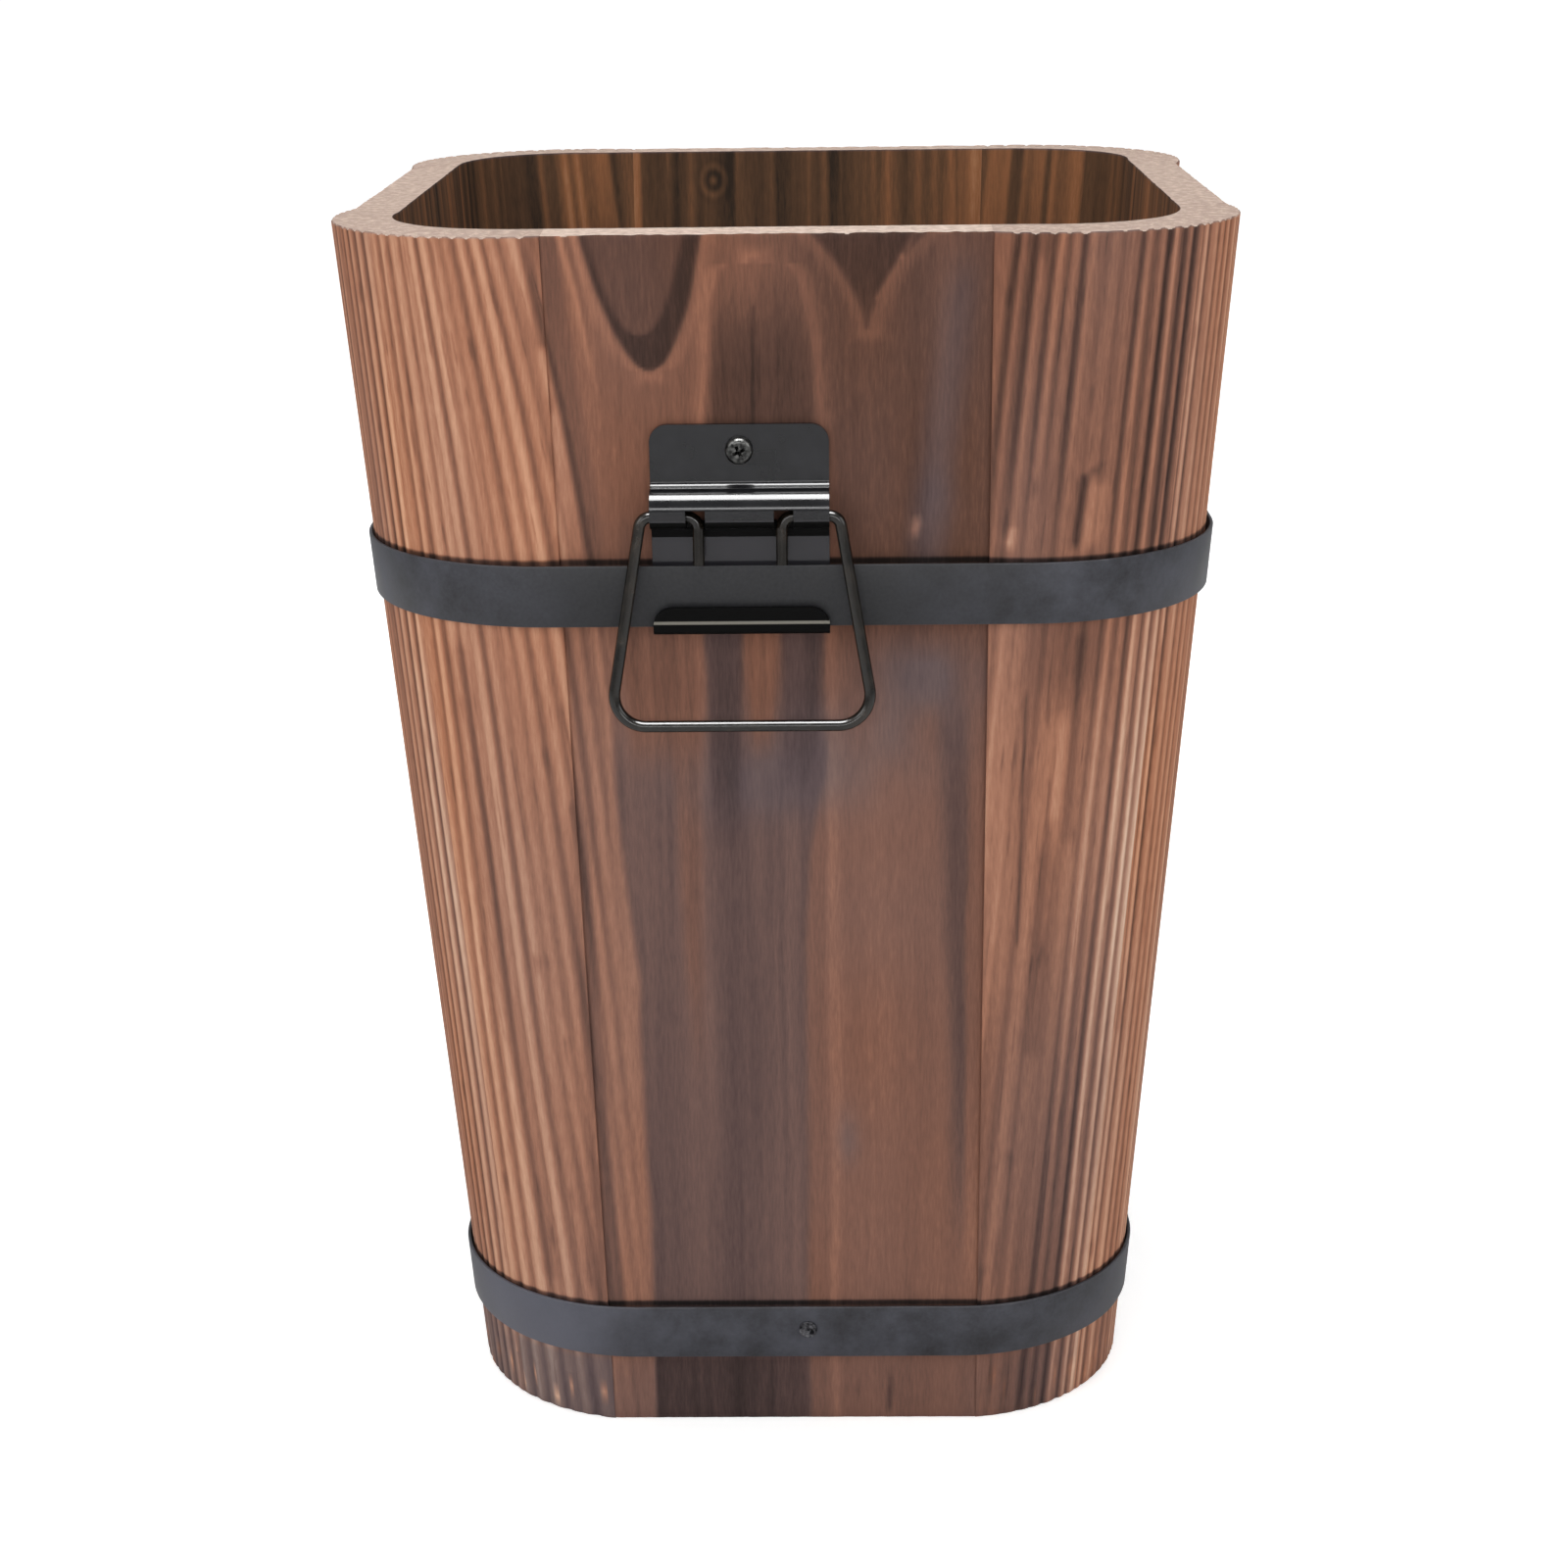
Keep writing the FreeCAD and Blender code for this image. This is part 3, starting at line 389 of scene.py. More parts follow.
STAVE_LOOKS = {
    ("front", "left"): stave_look(11, 0.7, 13, groove=0.75, pale=0.17, char=0.27, edge=-0.06, soot=0.85,
                                  bloom=-0.06, low_bloom=0.27, grooves=LEFT_GROOVES, marks=LEFT_MARKS),
    ("front", "right"): stave_look(23, 0.455, 2, groove=0.85, pale=0.3, edge=0.06, waist=0.135, outer=0.26,
                                   bloom=0.14, grooves=RIGHT_GROOVES, upper_only=30, marks=RIGHT_MARKS),
    ("right", "left"): stave_look(37, 0.68, 3, spacing=3.8, inner=[(0, 0.48), (1, 0.52)]),
    ("right", "right"): stave_look(41, 0.58, 4, spacing=4.4, edge=0.05, soot=0.3),
    ("rear", "left"): stave_look(53, 0.56, 6, spacing=4.6, groove=0.65, ribbed=RIBBED_ENDS, edge=0.04,
                                 soot=0.4, inner=[
                                     (0, 0.5), (0.25, 0.52), (0.38, 0.38), (0.5, 0.48), (1, 0.52)]),
    ("rear", "right"): stave_look(67, 0.62, 8, spacing=4.2, edge=0.04, inner=[
        (0, 0.52), (0.16, 0.38), (0.26, 0.58), (0.42, 0.58), (0.6, 0.44), (0.8, 0.3), (1, 0.26)]),
    ("left", "left"): stave_look(71, 0.55, 5, spacing=4.6, groove=0.65, ribbed=RIBBED_ENDS, edge=0.06,
                                 soot=0.3),
    ("left", "right"): stave_look(83, 0.66, 4, spacing=4.4, pale=0.28, soot=0.6),
}
print(len(STAVE_LOOKS), "looks")

# %% [markdown]
# The burn comes next: soft streaks along the grain, pale ribs and charred grooves that are partly painted
# shade, and grey smoke with a painted cool light tint. Each kind of streak has a step of the seed, a
# strength, a width and a length. The hoops have kept the brush and the weather off the foot, which is
# sooty and chipped and darkened partly as painted shade, and a painted shade line runs above each hoop.

# %% Burn of a stave
STAVE_STREAKS = [(4, 0.08, 6, 190), (5, 0.035, 1.2, 50), (12, 0.025, 0.8, 80)]
HOOP_GAP_SHADE = 0.42
FOOT_EDGE = (17, 26)
WAIST_HEIGHT, WAIST_SPREAD = 185, 70
BELOW_UPPER_HOOP = (236, 262)


def burn_stave(look, x, z, share, across, rib, groove):
    """Tone of a stave's outside, from 0 for char to 1 for pale, and its grey smoke with a painted cool light
    tint.
    """
    seed = look["seed"]
    # The groove term is char, darkened partly as painted shade on each rib's shadow side.
    # The hoop term is painted shade: the dark line above each hoop, where the gap under the strap is in
    # shadow.
    tone = look["tone"] + look["pale"] * rib - look["char"] * groove - HOOP_GAP_SHADE * hoop_gap_shade(z)
    for step, strength, width, length in STAVE_STREAKS:
        tone += strength * wander(seed + step, across / width, z / length)
    tone -= 0.1 * ease(0.62, 0.9, wander(seed + 13, across / 0.9, z / 12))
    tone += look["waist"] * np.exp(-((z - WAIST_HEIGHT) / WAIST_SPREAD) ** 2)
    tone += look["outer"] * (1 - ease(2, 18, across)) * (1 - ease(235, 265, z))
    tone += look["edge"] * (1 - ease(0.1, 0.24, share)) * (1 - ease(*BELOW_UPPER_HOOP, z))
    tone += scratch(x, z, look["marks"])
    # The foot below the lower hoop is sooty and chipped, and its darkening is partly painted shade under the
    # hoop.
    foot = 1 - ease(*FOOT_EDGE, z)
    chips = ease(0.55, 0.8, wander(seed + 6, across / 1.6, z / 1.8)) * foot * look["soot"]
    tone += 0.3 * chips - (0.03 + 0.18 * look["soot"]) * foot
    smoke_and_cool_light = 0.1 + 0.22 * wander(seed + 7, across / 14, z / 90) + look["soot"] * foot - chips
    # Painted cool light tint: grey added or taken away for each stave, and more grey low down.
    smoke_and_cool_light += look["bloom"] + look["low_bloom"] * (1 - ease(130, 260, z))
    return tone, smoke_and_cool_light


print("foot strip below", FOOT_EDGE[1], "mm")

# %% [markdown]
# One function then saws, bends and brushes a stave. On the inside a stave is thicker than a board, so it
# is planed flush towards their joint. The sawn end at the rim is sooty.

# %% Corner staves
STAVE_COLUMNS = 168
STAVE_WORN = (0.45, 0.15)
RIB_SHARE = 0.24
INNER_PLANED, PLANED_SHARE = 0.15, (0.15, 0.55)
INNER_STREAK = 0.16
SAWN_BACK, SAWN_GROOVE = 0.15, 0.7


def dress(piece, node):
    """Gives a piece to the barrel, in the place of a CAD node."""
    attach(piece, "barrel")
    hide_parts(node)
    return piece


def board_inner_face(z):
    """Middle of the barrel to the inner face of a board, with the floor's groove cut into it."""
    croze = (CROZE_DEPTH - STAVE_WALL + BOARD_WALL) * in_croze(z)
    return between(FOOT_HALF, RIM_HALF, z) - BOARD_WALL + croze


def make_corner_stave(side, hand, look):
    name = f"{side}_corner_stave_{hand}"
    blank, column, row, inside = saw_blank(f"{name}_brushed", STAVE_COLUMNS)
    z = ROW_HEIGHTS[row]
    share = column / STAVE_COLUMNS
    centre = between(*ARC_CENTRES[hand], z)
    reach = between(FOOT_REACH, RIM_REACH, z)
    radius = reach - centre - np.where(inside, STAVE_WALL - CROZE_DEPTH * in_croze(z), 0)
    angle = (1 - share) * joint_angle(joint_edge(hand, z), centre, radius)
    across, _ = across_ribs(look, hand, z, share)
    brushing = along_list(look["ribbed"], share)
    rib, groove = (part * brushing for part in brushed_ribs(look, across, z))
    brushed = RIB_DEPTH * (RIB_SHARE + (1 - RIB_SHARE) * groove - RIB_SHARE * rib)
    depth = np.where(inside, -INNER_PLANED, brushed)
    x, y = on_arc(angle, centre, radius - depth)
    flush = inside * (1 - ease(*PLANED_SHARE, share))
    y += flush * (np.minimum(y, -board_inner_face(z)) - y)
    shrink = 1 - np.where(inside, 0, worn_off(row, column, STAVE_COLUMNS, *STAVE_WORN)) / reach
    x, y = x * shrink, y * shrink
    if hand == "left":
        x = -x
    tone, smoke_and_cool_light = burn_stave(look, x, z, share, across, rib, groove)
    inner = along_list(look["inner"], share)
    inner += INNER_STREAK * wander(look["seed"] + 10, across / 2.5, z / 260)
    smoke_and_cool_light = np.where(row == LAST_ROW, 1.0, np.where(inside, 0, smoke_and_cool_light))
    z = z - np.where((row == LAST_ROW) & ~inside, SAWN_BACK + SAWN_GROOVE * groove, 0)
    shape_blank(blank, x, y, z, side, np.where(inside, inner, tone), smoke_and_cool_light, inside)
    return dress(blank, name)


wood_pieces = [make_corner_stave(side, hand, look) for (side, hand), look in STAVE_LOOKS.items()]
print(f"{len(wood_pieces)} corner staves, {len(wood_pieces[0].data.polygons)} faces each")

# %% [markdown]
# ## Flat-sawn boards
# Each side has one wide board, sawn across the crown of the log, so the year rings show as tongues,
# arches and long bands instead of lines. The burn follows them: hard rings char dark and soft wood stays
# red-brown. The figure is drawn as a few named shapes with soft edges, measured in millimetres on the
# board.

# %% Shapes in a figure
TIP_SLOPE = 1.2
LONGEST_FALL = 1.6


def tongue_depth(x, z, tongue):
    """How far inside a tongue that hangs from the rim a place is, in mm."""
    tip_x, tip_z = tongue["tip"]
    rise = np.clip((z - tip_z) / (HEIGHT - tip_z), 0, 1)
    middle = tip_x + (tongue["rim"] - tip_x) * rise
    from_sides = tongue["half"] * rise ** tongue["blunt"] - np.abs(x - middle)
    return np.minimum(from_sides, (z - tip_z) * TIP_SLOPE)


def arch_depth(x, z, arch):
    """How far inside an arch that stands on the board a place is, in mm."""
    apex_x, apex_z = arch["apex"]
    fall = np.clip((apex_z - z) / arch["span"], 0, LONGEST_FALL)
    middle = apex_x + arch["drift"] * fall
    from_sides = arch["half"] * fall ** arch["blunt"] - np.abs(x - middle)
    return np.minimum(from_sides, (apex_z - z) * TIP_SLOPE)


def rim_of(depth, width=6):
    """Strip outside a shape's edge, where the wood stayed lighter."""
    return ease(-width, -0.3 * width, depth) * (1 - ease(-0.3 * width, 0.5, depth))


def draw_band(band, x, z):
    """How far a place is inside a long band, from 0 to 1, and how close to the band's edges."""
    from_left = x - along_list(band["left"], z)
    from_right = along_list(band["right"], z) - x
    soft = band["soft"]
    inside = ease(-soft, soft, from_left) * ease(-soft, soft, from_right)
    inside *= ease(*band["foot"], z) * (1 - ease(*band["top"], z))
    edges = sum(ease(-2.5, 0, gap) * (1 - ease(0, 3.5, gap)) for gap in (from_left, from_right))
    return inside, edges * inside


print("lighter strip 3 mm outside an edge:", round(float(rim_of(-3)), 2))

# %% [markdown]
# A board's burn is painted in layers, each over the last: the ground, which differs above and below the
# upper hoop and below it carries more grey as a painted cool light tint, then arches, tongues, bands and
# clouds of smoke, and last the small marks, the painted shade line above each hoop and the foot, which is
# partly sooty and partly darkened as painted shade.

# %% Burn of a board
HOOP_CHANGE = (195, 262)
CORE_SOFT = 1.3


def board_figure(figure, x, z):
    """Tone of the wood, from 0 for char to 1 for pale, and its bluish smoke, with a painted cool light tint
    on the lower board.
    """
    seed = figure["seed"]
    small_marks = scratch(x, z, figure["marks"])
    x = x + 0.6 * wander(seed + 20, x / 12, z / 30) + 0.25 * wander(seed + 21, x / 3, z / 14)
    streak = wander(seed, x / 8, z / 170)
    fine = wander(seed + 1, x / 1.4, z / 60)
    high = ease(*HOOP_CHANGE, z)
    tone = along_list(figure["low_ground"], x) * (1 - high) + along_list(figure["high_ground"], x) * high
    tone = tone + 0.03 * streak + 0.022 * fine
    # The 0.2 term is a painted cool light tint, with more grey on the board below the upper hoop.
    smoke_and_cool_light = figure["haze"] + 0.2 * (1 - high) + 0.12 * wander(seed + 2, x / 20, z / 40)
    for arch in figure["arches"]:
        depth, fall = arch_depth(x, z, arch), arch["apex"][1] - z
        inside = ease(-arch["soft"], arch["soft"], depth) * ease(0, 28, fall)
        inside *= 1 - ease(*arch["ends"], fall)
        tone += 0.09 * rim_of(depth)
        tone += (arch["fill"] + 0.04 * wander(seed + 5, x, z / 45) - tone) * inside
    for tongue in figure["tongues"]:
        depth = tongue_depth(x, z, tongue)
        tone += 0.08 * rim_of(depth)
        tone += (tongue["fill"] + 0.02 * fine - tone) * ease(-tongue["soft"], tongue["soft"], depth)
        if "core" in tongue:
            core = ease(-CORE_SOFT, CORE_SOFT, tongue_depth(x, z, tongue["core"]))
            tone += (tongue["core"]["fill"] + 0.03 * fine - tone) * core
    for band in figure["bands"]:
        inside, edges = draw_band(band, x, z)
        tone += (band["fill"] + 0.07 * streak + 0.04 * fine - tone) * inside
        tone -= band["lines"] * edges
        smoke_and_cool_light += (band["smoke_and_cool_light"] - smoke_and_cool_light) * inside
    for middle, height, half_width, half_height, amount in figure["clouds"]:
        away = ((x - middle) / half_width) ** 2 + ((z - height) / half_height) ** 2
        cloud = amount * np.exp(-away) * (1 + 0.4 * wander(seed + 6, x / 9, z / 14))
        smoke_and_cool_light += cloud
        tone -= 0.06 * cloud
    # The foot's darkening is partly soot and partly painted shade under the lower hoop.
    foot = 1 - ease(*FOOT_EDGE, z)
    # The hoop term is painted shade above each hoop.
    return tone + small_marks - 0.04 * foot - HOOP_GAP_SHADE * hoop_gap_shade(z), smoke_and_cool_light + 0.1 * foot


print("ground changes between", HOOP_CHANGE, "mm")

# %% [markdown]
# The front board's shapes follow the real one: a tongue with a dark outline and a dark funnel at the rim,
# an arch between them with a drying crack, a bluish smear to the right, and the long dark band below the
# bracket. The other three boards come from the same log and get their own shapes.

# %% Shapes of the four boards
FROM_FOOT = (-9, -8)
TO_RIM = (400, 401)


def band(left, right, fill, smoke_and_cool_light, soft, foot=FROM_FOOT, top=TO_RIM, lines=0.0):
    """Long band between two edges, each a list of (height, place across)."""
    return dict(left=left, right=right, fill=fill, smoke_and_cool_light=smoke_and_cool_light, soft=soft, foot=foot, top=top, lines=lines)


FIGURES = {
    "front": dict(
        seed=101, haze=0.12,
        high_ground=[(-60, 0.57), (-46, 0.5), (-20, 0.47), (2, 0.42), (16, 0.34), (51, 0.37)],
        low_ground=[(-60, 0.6), (-42, 0.6), (0, 0.48), (25, 0.5), (51, 0.48)],
        tongues=[
            dict(tip=(-34, 306.5), rim=-35.2, half=14.65, blunt=0.49, fill=0.19, soft=0.9,
                 core=dict(tip=(-36.3, 315), rim=-36.6, half=11.8, blunt=0.5, fill=0.35)),
            dict(tip=(20.3, 317), rim=20.1, half=13.6, blunt=1.5, fill=0.23, soft=1.2)],
        arches=[dict(apex=(-6.8, 333), drift=0.4, half=13.6, span=50, blunt=0.17, fill=0.27, soft=2.2,
                     ends=(70, 100))],
        bands=[
            band([(262, -52.6), (340, -62)], [(262, -47.2), (340, -55.8)], 0.42, 0.2, 1.2, foot=(240, 262)),
            band([(262, 31), (293, 35), (330, 40)], [(262, 39), (293, 42.5), (330, 46)], 0.3, 0.6, 4.0,
                 foot=(236, 262), top=(322, 340)),
            band([(0, -41), (90, -40.6), (138, -41), (166, -44), (205, -46.8)],
                 [(0, 3.1), (124, 3.2), (152, 3.4), (173, 4.5), (205, 9)], 0.385, 0.62, 1.6, top=(190, 236),
                 lines=0.05),
            band([(131, -28), (200, -31)], [(131, -24.5), (200, -23.5)], 0.42, 0.35, 2.0,
                 (100, 150), (215, 240)),
            band([(200, -42), (240, -42.5)], [(200, -24), (240, -22)], 0.46, 0.2, 2.0,
                 (196, 216), (262, 272)),
            band([(180, -21), (240, -21.9)], [(180, -13), (240, -12.3)], 0.27, 0.55, 1.4,
                 (170, 200), (262, 272)),
            band([(180, -9), (240, -10.8)], [(180, -6), (240, -3.3)], 0.47, 0.1, 1.3,
                 (200, 216), (262, 272)),
            band([(180, -2), (240, -2.5)], [(180, 4), (240, 9)], 0.27, 0.5, 2.0, (180, 206), (262, 272)),
            band([(0, 45), (140, 42), (205, 39), (240, 37)], [(0, 49), (140, 48.4), (205, 46.5), (240, 44)],
                 0.37, 0.45, 2.8, (40, 90), (205, 240)),
            band([(0, -62), (240, -66)], [(0, -49.6), (46, -50), (164, -53.4), (240, -56.5)], 0.4, 0.4, 1.1,
                 (26, 40), (170, 235)),
            band([(0, 47), (205, 46.4), (240, 45)], [(0, 53), (240, 53)], 0.5, 0.25, 1.2,
                 (26, 60), (185, 225)),
            band([(0, -41), (30, -41)], [(0, 3.1), (30, 3.1)], 0.24, 0.45, 0.9, top=(20, 26))],
        clouds=[(34, 226, 15, 9, 0.8), (38, 270, 5, 9, 0.3), (14, 92, 3, 8, 0.5), (20, 208, 22, 16, 0.4),
                (-6, 196, 20, 10, 0.4)],
        marks=[(-56, 258, -59, 294, 2.4, 0.16), (22.5, 324, 28.4, 334, 0.8, 0.12),
               (28.4, 334, 32, 340, 0.8, 0.12), (-8, 322, -8.6, 280, 0.5, -0.12),
               (32, 264, 32.6, 267, 1.3, 0.3), (-47, 0, -46, 18, 5, -0.06),
               (26, 3, 26.5, 13, 1.0, -0.16), (17, 5, 17.2, 10, 0.8, -0.1)]),
    "right": dict(
        seed=211, haze=0.15,
        high_ground=[(-60, 0.55), (-30, 0.5), (0, 0.46), (51, 0.44)],
        low_ground=[(-60, 0.56), (-20, 0.5), (51, 0.52)],
        tongues=[dict(tip=(8, 270), rim=12, half=19, blunt=0.55, fill=0.25, soft=1.0,
                      core=dict(tip=(9, 280), rim=12, half=15, blunt=0.55, fill=0.4))],
        arches=[dict(apex=(-24, 240), drift=1.5, half=11, span=60, blunt=0.3, fill=0.33, soft=2.0,
                     ends=(120, 190))],
        bands=[band([(0, -16), (150, -6), (250, 4)], [(0, 22), (150, 30), (250, 26)], 0.33, 0.7, 1.6,
                    top=(180, 240), lines=0.05)],
        clouds=[(-36, 180, 8, 40, 0.5), (38, 90, 10, 30, 0.5)], marks=[]),
    "rear": dict(
        seed=307, haze=0.12,
        high_ground=[(-60, 0.56), (-20, 0.5), (51, 0.46)],
        low_ground=[(-60, 0.58), (-20, 0.52), (51, 0.5)],
        tongues=[
            dict(tip=(22, 296), rim=26, half=16, blunt=0.5, fill=0.25, soft=0.9,
                 core=dict(tip=(23, 305), rim=26, half=12.5, blunt=0.5, fill=0.4)),
            dict(tip=(-14, 314), rim=-18, half=12, blunt=1.2, fill=0.27, soft=1.3)],
        arches=[dict(apex=(4, 214), drift=3, half=13, span=50, blunt=0.25, fill=0.32, soft=2.0,
                     ends=(90, 190))],
        bands=[band([(0, -26), (160, -22), (230, -20)], [(0, 12), (160, 16), (230, 14)], 0.33, 0.65, 1.5,
                    top=(120, 200), lines=0.05)],
        clouds=[(34, 220, 12, 26, 0.6), (-40, 120, 6, 40, 0.5)], marks=[]),
    "left": dict(
        seed=401, haze=0.14,
        high_ground=[(-60, 0.54), (0, 0.5), (51, 0.5)],
        low_ground=[(-60, 0.56), (0, 0.52), (51, 0.54)],
        tongues=[dict(tip=(-10, 288), rim=-14, half=22, blunt=0.5, fill=0.25, soft=0.9,
                      core=dict(tip=(-11, 298), rim=-14, half=18, blunt=0.5, fill=0.41))],
        arches=[dict(apex=(26, 304), drift=-2, half=12, span=44, blunt=0.2, fill=0.33, soft=2.0,
                     ends=(110, 180))],
        bands=[band([(0, -34), (150, -36), (240, -30)], [(0, -8), (150, -4), (240, -6)], 0.32, 0.7, 1.5,
                    top=(200, 250), lines=0.05)],
        clouds=[(30, 110, 10, 40, 0.6), (-40, 280, 8, 20, 0.4)], marks=[]),
}
INNER_GROUND = {
    "front": [(-60, 0.45), (-40, 0.36), (-20, 0.46), (0, 0.32), (25, 0.42), (51, 0.36)],
    "right": [(-60, 0.52), (-42, 0.48), (-20, 0.44), (6, 0.48), (30, 0.38), (51, 0.44)],
    "rear": [(-60, 0.58), (-51, 0.54), (-44, 0.33), (-36, 0.42), (-29, 0.47), (-14, 0.31), (23, 0.3),
             (31, 0.34), (46, 0.42), (51, 0.56)],
    "left": [(-60, 0.36), (-38, 0.42), (-10, 0.32), (14, 0.44), (36, 0.36), (51, 0.3)],
}
END_SMOKE = {"front": 0.0, "right": 0.85, "rear": 0.85, "left": 0.85}
KNOT_SIDE, KNOT_X, KNOT_HEIGHT = "rear", 25.5, 331.0
KNOT_HALF_WIDTH, KNOT_HALF_HEIGHT = 5, 6
print(len(FIGURES), "board figures")

# %% [markdown]
# The board itself is the same kind of blank. Soft wood is brushed away a few tenths of a millimetre
# between the hard rings, and at the left edge the leaning ribs of the corner stave run on for a finger's
# width. The inner side keeps the flame's first colour: orange with dark streaks, and a ringed knot at the
# back. The sawn end is clean on the front board and sooty on the others.

# %% Boards
BOARD_COLUMNS = 216
BOARD_WORN = (0.4, 0.2)
RUN_ON_WIDTH, RUN_ON_FOOT = (7.5, 13), (120, 210)
RUN_ON_PALE, RUN_ON_CHAR_AND_SHADE, RUN_ON_DEPTH = 0.18, 0.24, 0.2
BRUSHED_DEPTH, PALE_RISE, FINE_DEPTH = 0.3, 0.12, 0.06


def run_on_ribs(side, x, z):
    """Ribs of the left corner stave where they drift over the joint on to the board."""
    look = STAVE_LOOKS[side, "left"]
    past_joint = x + joint_edge("left", z)
    _, run = across_ribs(look, "left", z, np.zeros_like(z))
    across, _ = across_ribs(look, "left", z, -past_joint / run)
    fading = (1 - ease(*RUN_ON_WIDTH, past_joint)) * (0.35 + 0.65 * ease(*RUN_ON_FOOT, z))
    return (part * fading for part in brushed_ribs(look, across, z))


def inner_figure(side, seed, x, z):
    """Tone of a board's inner side."""
    tone = along_list(INNER_GROUND[side], x) + INNER_STREAK * wander(seed + 11, x / 2.5, z / 120)
    tone += 0.05 * wander(seed + 12, x, z / 50)
    if side == KNOT_SIDE:
        ring = np.hypot((x - KNOT_X) / KNOT_HALF_WIDTH, (z - KNOT_HEIGHT) / KNOT_HALF_HEIGHT)
        tone += np.exp(-ring ** 4) * 0.12 * np.cos(ring * 8)
    return tone


def make_board(side):
    blank, column, row, inside = saw_blank(f"{side}_board_sawn", BOARD_COLUMNS)
    z = ROW_HEIGHTS[row]
    left_edge = -joint_edge("left", z)
    x = left_edge + (RIGHT_EDGE - left_edge) * column / BOARD_COLUMNS
    seed = FIGURES[side]["seed"]
    tone, smoke_and_cool_light = board_figure(FIGURES[side], x, z)
    rib, groove = run_on_ribs(side, x, z)
    # The run-on grooves are char, darkened partly as painted shade on each rib's shadow side.
    tone += RUN_ON_PALE * rib - RUN_ON_CHAR_AND_SHADE * groove
    relief = BRUSHED_DEPTH - PALE_RISE * np.clip(tone, 0, 1) + RUN_ON_DEPTH * (groove - rib)
    relief += FINE_DEPTH * wander(seed + 8, x / 1.5, z / 40)
    relief += worn_off(row, column, BOARD_COLUMNS, *BOARD_WORN)
    inner_face = board_inner_face(z) + 0.15 * wander(seed + 9, x / 3, z / 80)
    y = -np.where(inside, inner_face, between(FOOT_HALF, RIM_HALF, z) - relief)
    tone = np.where(inside, inner_figure(side, seed, x, z), tone)
    smoke_and_cool_light = np.where(row == LAST_ROW, END_SMOKE[side], np.where(inside, 0, smoke_and_cool_light))
    z = z - np.where((row == LAST_ROW) & ~inside, SAWN_BACK + 0.12 * wander(seed + 10, x / 2.2), 0)
    shape_blank(blank, x, y, z, side, tone, smoke_and_cool_light, inside)
    return dress(blank, f"{side}_board")


wood_pieces += [make_board(side) for side in SIDE_TURN]
print(f"boards have {len(wood_pieces[-1].data.polygons)} faces each")

# %% [markdown]
# ## Materials: colours and nodes
# Colours are written as the hex values that a picture shows, and Blender's shaders count in linear light,
# so one function turns the first into the second. A second small function adds any kind of shader node,
# sets it and links it, which keeps each material short enough to read as a recipe.

# %% Colour and node helpers


def linear(code):
    """sRGB hex to the linear colour that a shader takes."""
    parts = [int(code[i:i + 2], 16) / 255 for i in (1, 3, 5)]
    return [c / 12.92 if c <= 0.04045 else ((c + 0.055) / 1.055) ** 2.4 for c in parts] + [1.0]


def set_inputs(tree, node, inputs):
    """Sets inputs to numbers and colours, or links them to outputs. A node stands for its first output."""
    for socket, value in inputs.items():
        if isinstance(value, bpy.types.Node):
            value = value.outputs[0]
        if isinstance(value, bpy.types.NodeSocket):
            tree.links.new(value, node.inputs[socket])
        else:
            node.inputs[socket].default_value = value


def add_node(tree, kind, inputs=None, stops=(), **settings):
    """Node of a kind, with its settings, its inputs and a ramp's colour stops."""
    node = tree.nodes.new(f"ShaderNode{kind}")
    for name, value in settings.items():
        setattr(node, name, value)
    set_inputs(tree, node, inputs or {})
    for index, (position, code) in enumerate(stops):
        elements = node.color_ramp.elements
        element = elements[index] if index < 2 else elements.new(position)
        element.position = position
        element.color = linear(code)
    return node


def new_material(name):
    """New material, with its node tree, its shader and the place on the object that its patterns read."""
    material = bpy.data.materials.new(name)
    material.use_nodes = True
    tree = material.node_tree
    shader = next(node for node in tree.nodes if node.type == "BSDF_PRINCIPLED")
    return material, tree, shader, add_node(tree, "TexCoord").outputs["Object"]


print("middle grey #808080 is", round(linear("#808080")[0], 3), "in linear light")

# %% [markdown]
# ## Charred and brushed softwood
# The wood is fir, scorched with a flame, brushed and left almost dry. That gives a dull brown that runs
# from near black in the burnt rings to tan on the brushed ribs, with a cold grey bloom where the smoke
# stayed and the same grey laid on as a painted cool light tint low down and on the front right, and pale,
# dry end grain at the sawn rim, dirtier where soot lies on it. Tone and the smoke with its painted light
# tint were kept on the mesh with the shape they belong to, and the nodes add what is finer than the mesh:
# hair-thin pores 0.6 mm apart and stretched to 6 mm along the grain. The inner side was only scorched, so
# its brown is redder and has no bloom.

# %% Charred fir
PORE_MM, PORE_LENGTH_MM, PORE_DEPTH_MM = 0.6, 6.0, 0.2
END_GRAIN_MM = 2.5
PORE_TONE, END_SOOT = 0.055, -0.17
BRUSHED_BROWNS = [(0.0, "#1c1410"), (1.0, "#dfb99c"), (0.18, "#392820"), (0.36, "#5b3e31"),
                  (0.52, "#7e5441"), (0.68, "#a56f54"), (0.84, "#c59273")]
SMOKE_GREYS = [(0.0, "#232021"), (1.0, "#b3a196"), (0.3, "#57494a"), (0.6, "#786560")]
SCORCHED_BROWNS = [(0.0, "#1c1410"), (1.0, "#d3a57f"), (0.2, "#34281f"), (0.4, "#604430"),
                   (0.6, "#905f3f"), (0.8, "#b98660")]
SAWN_GREYS = [(0.3, "#b09a8d"), (0.7, "#e6d3c6"), (0.5, "#d0baab")]


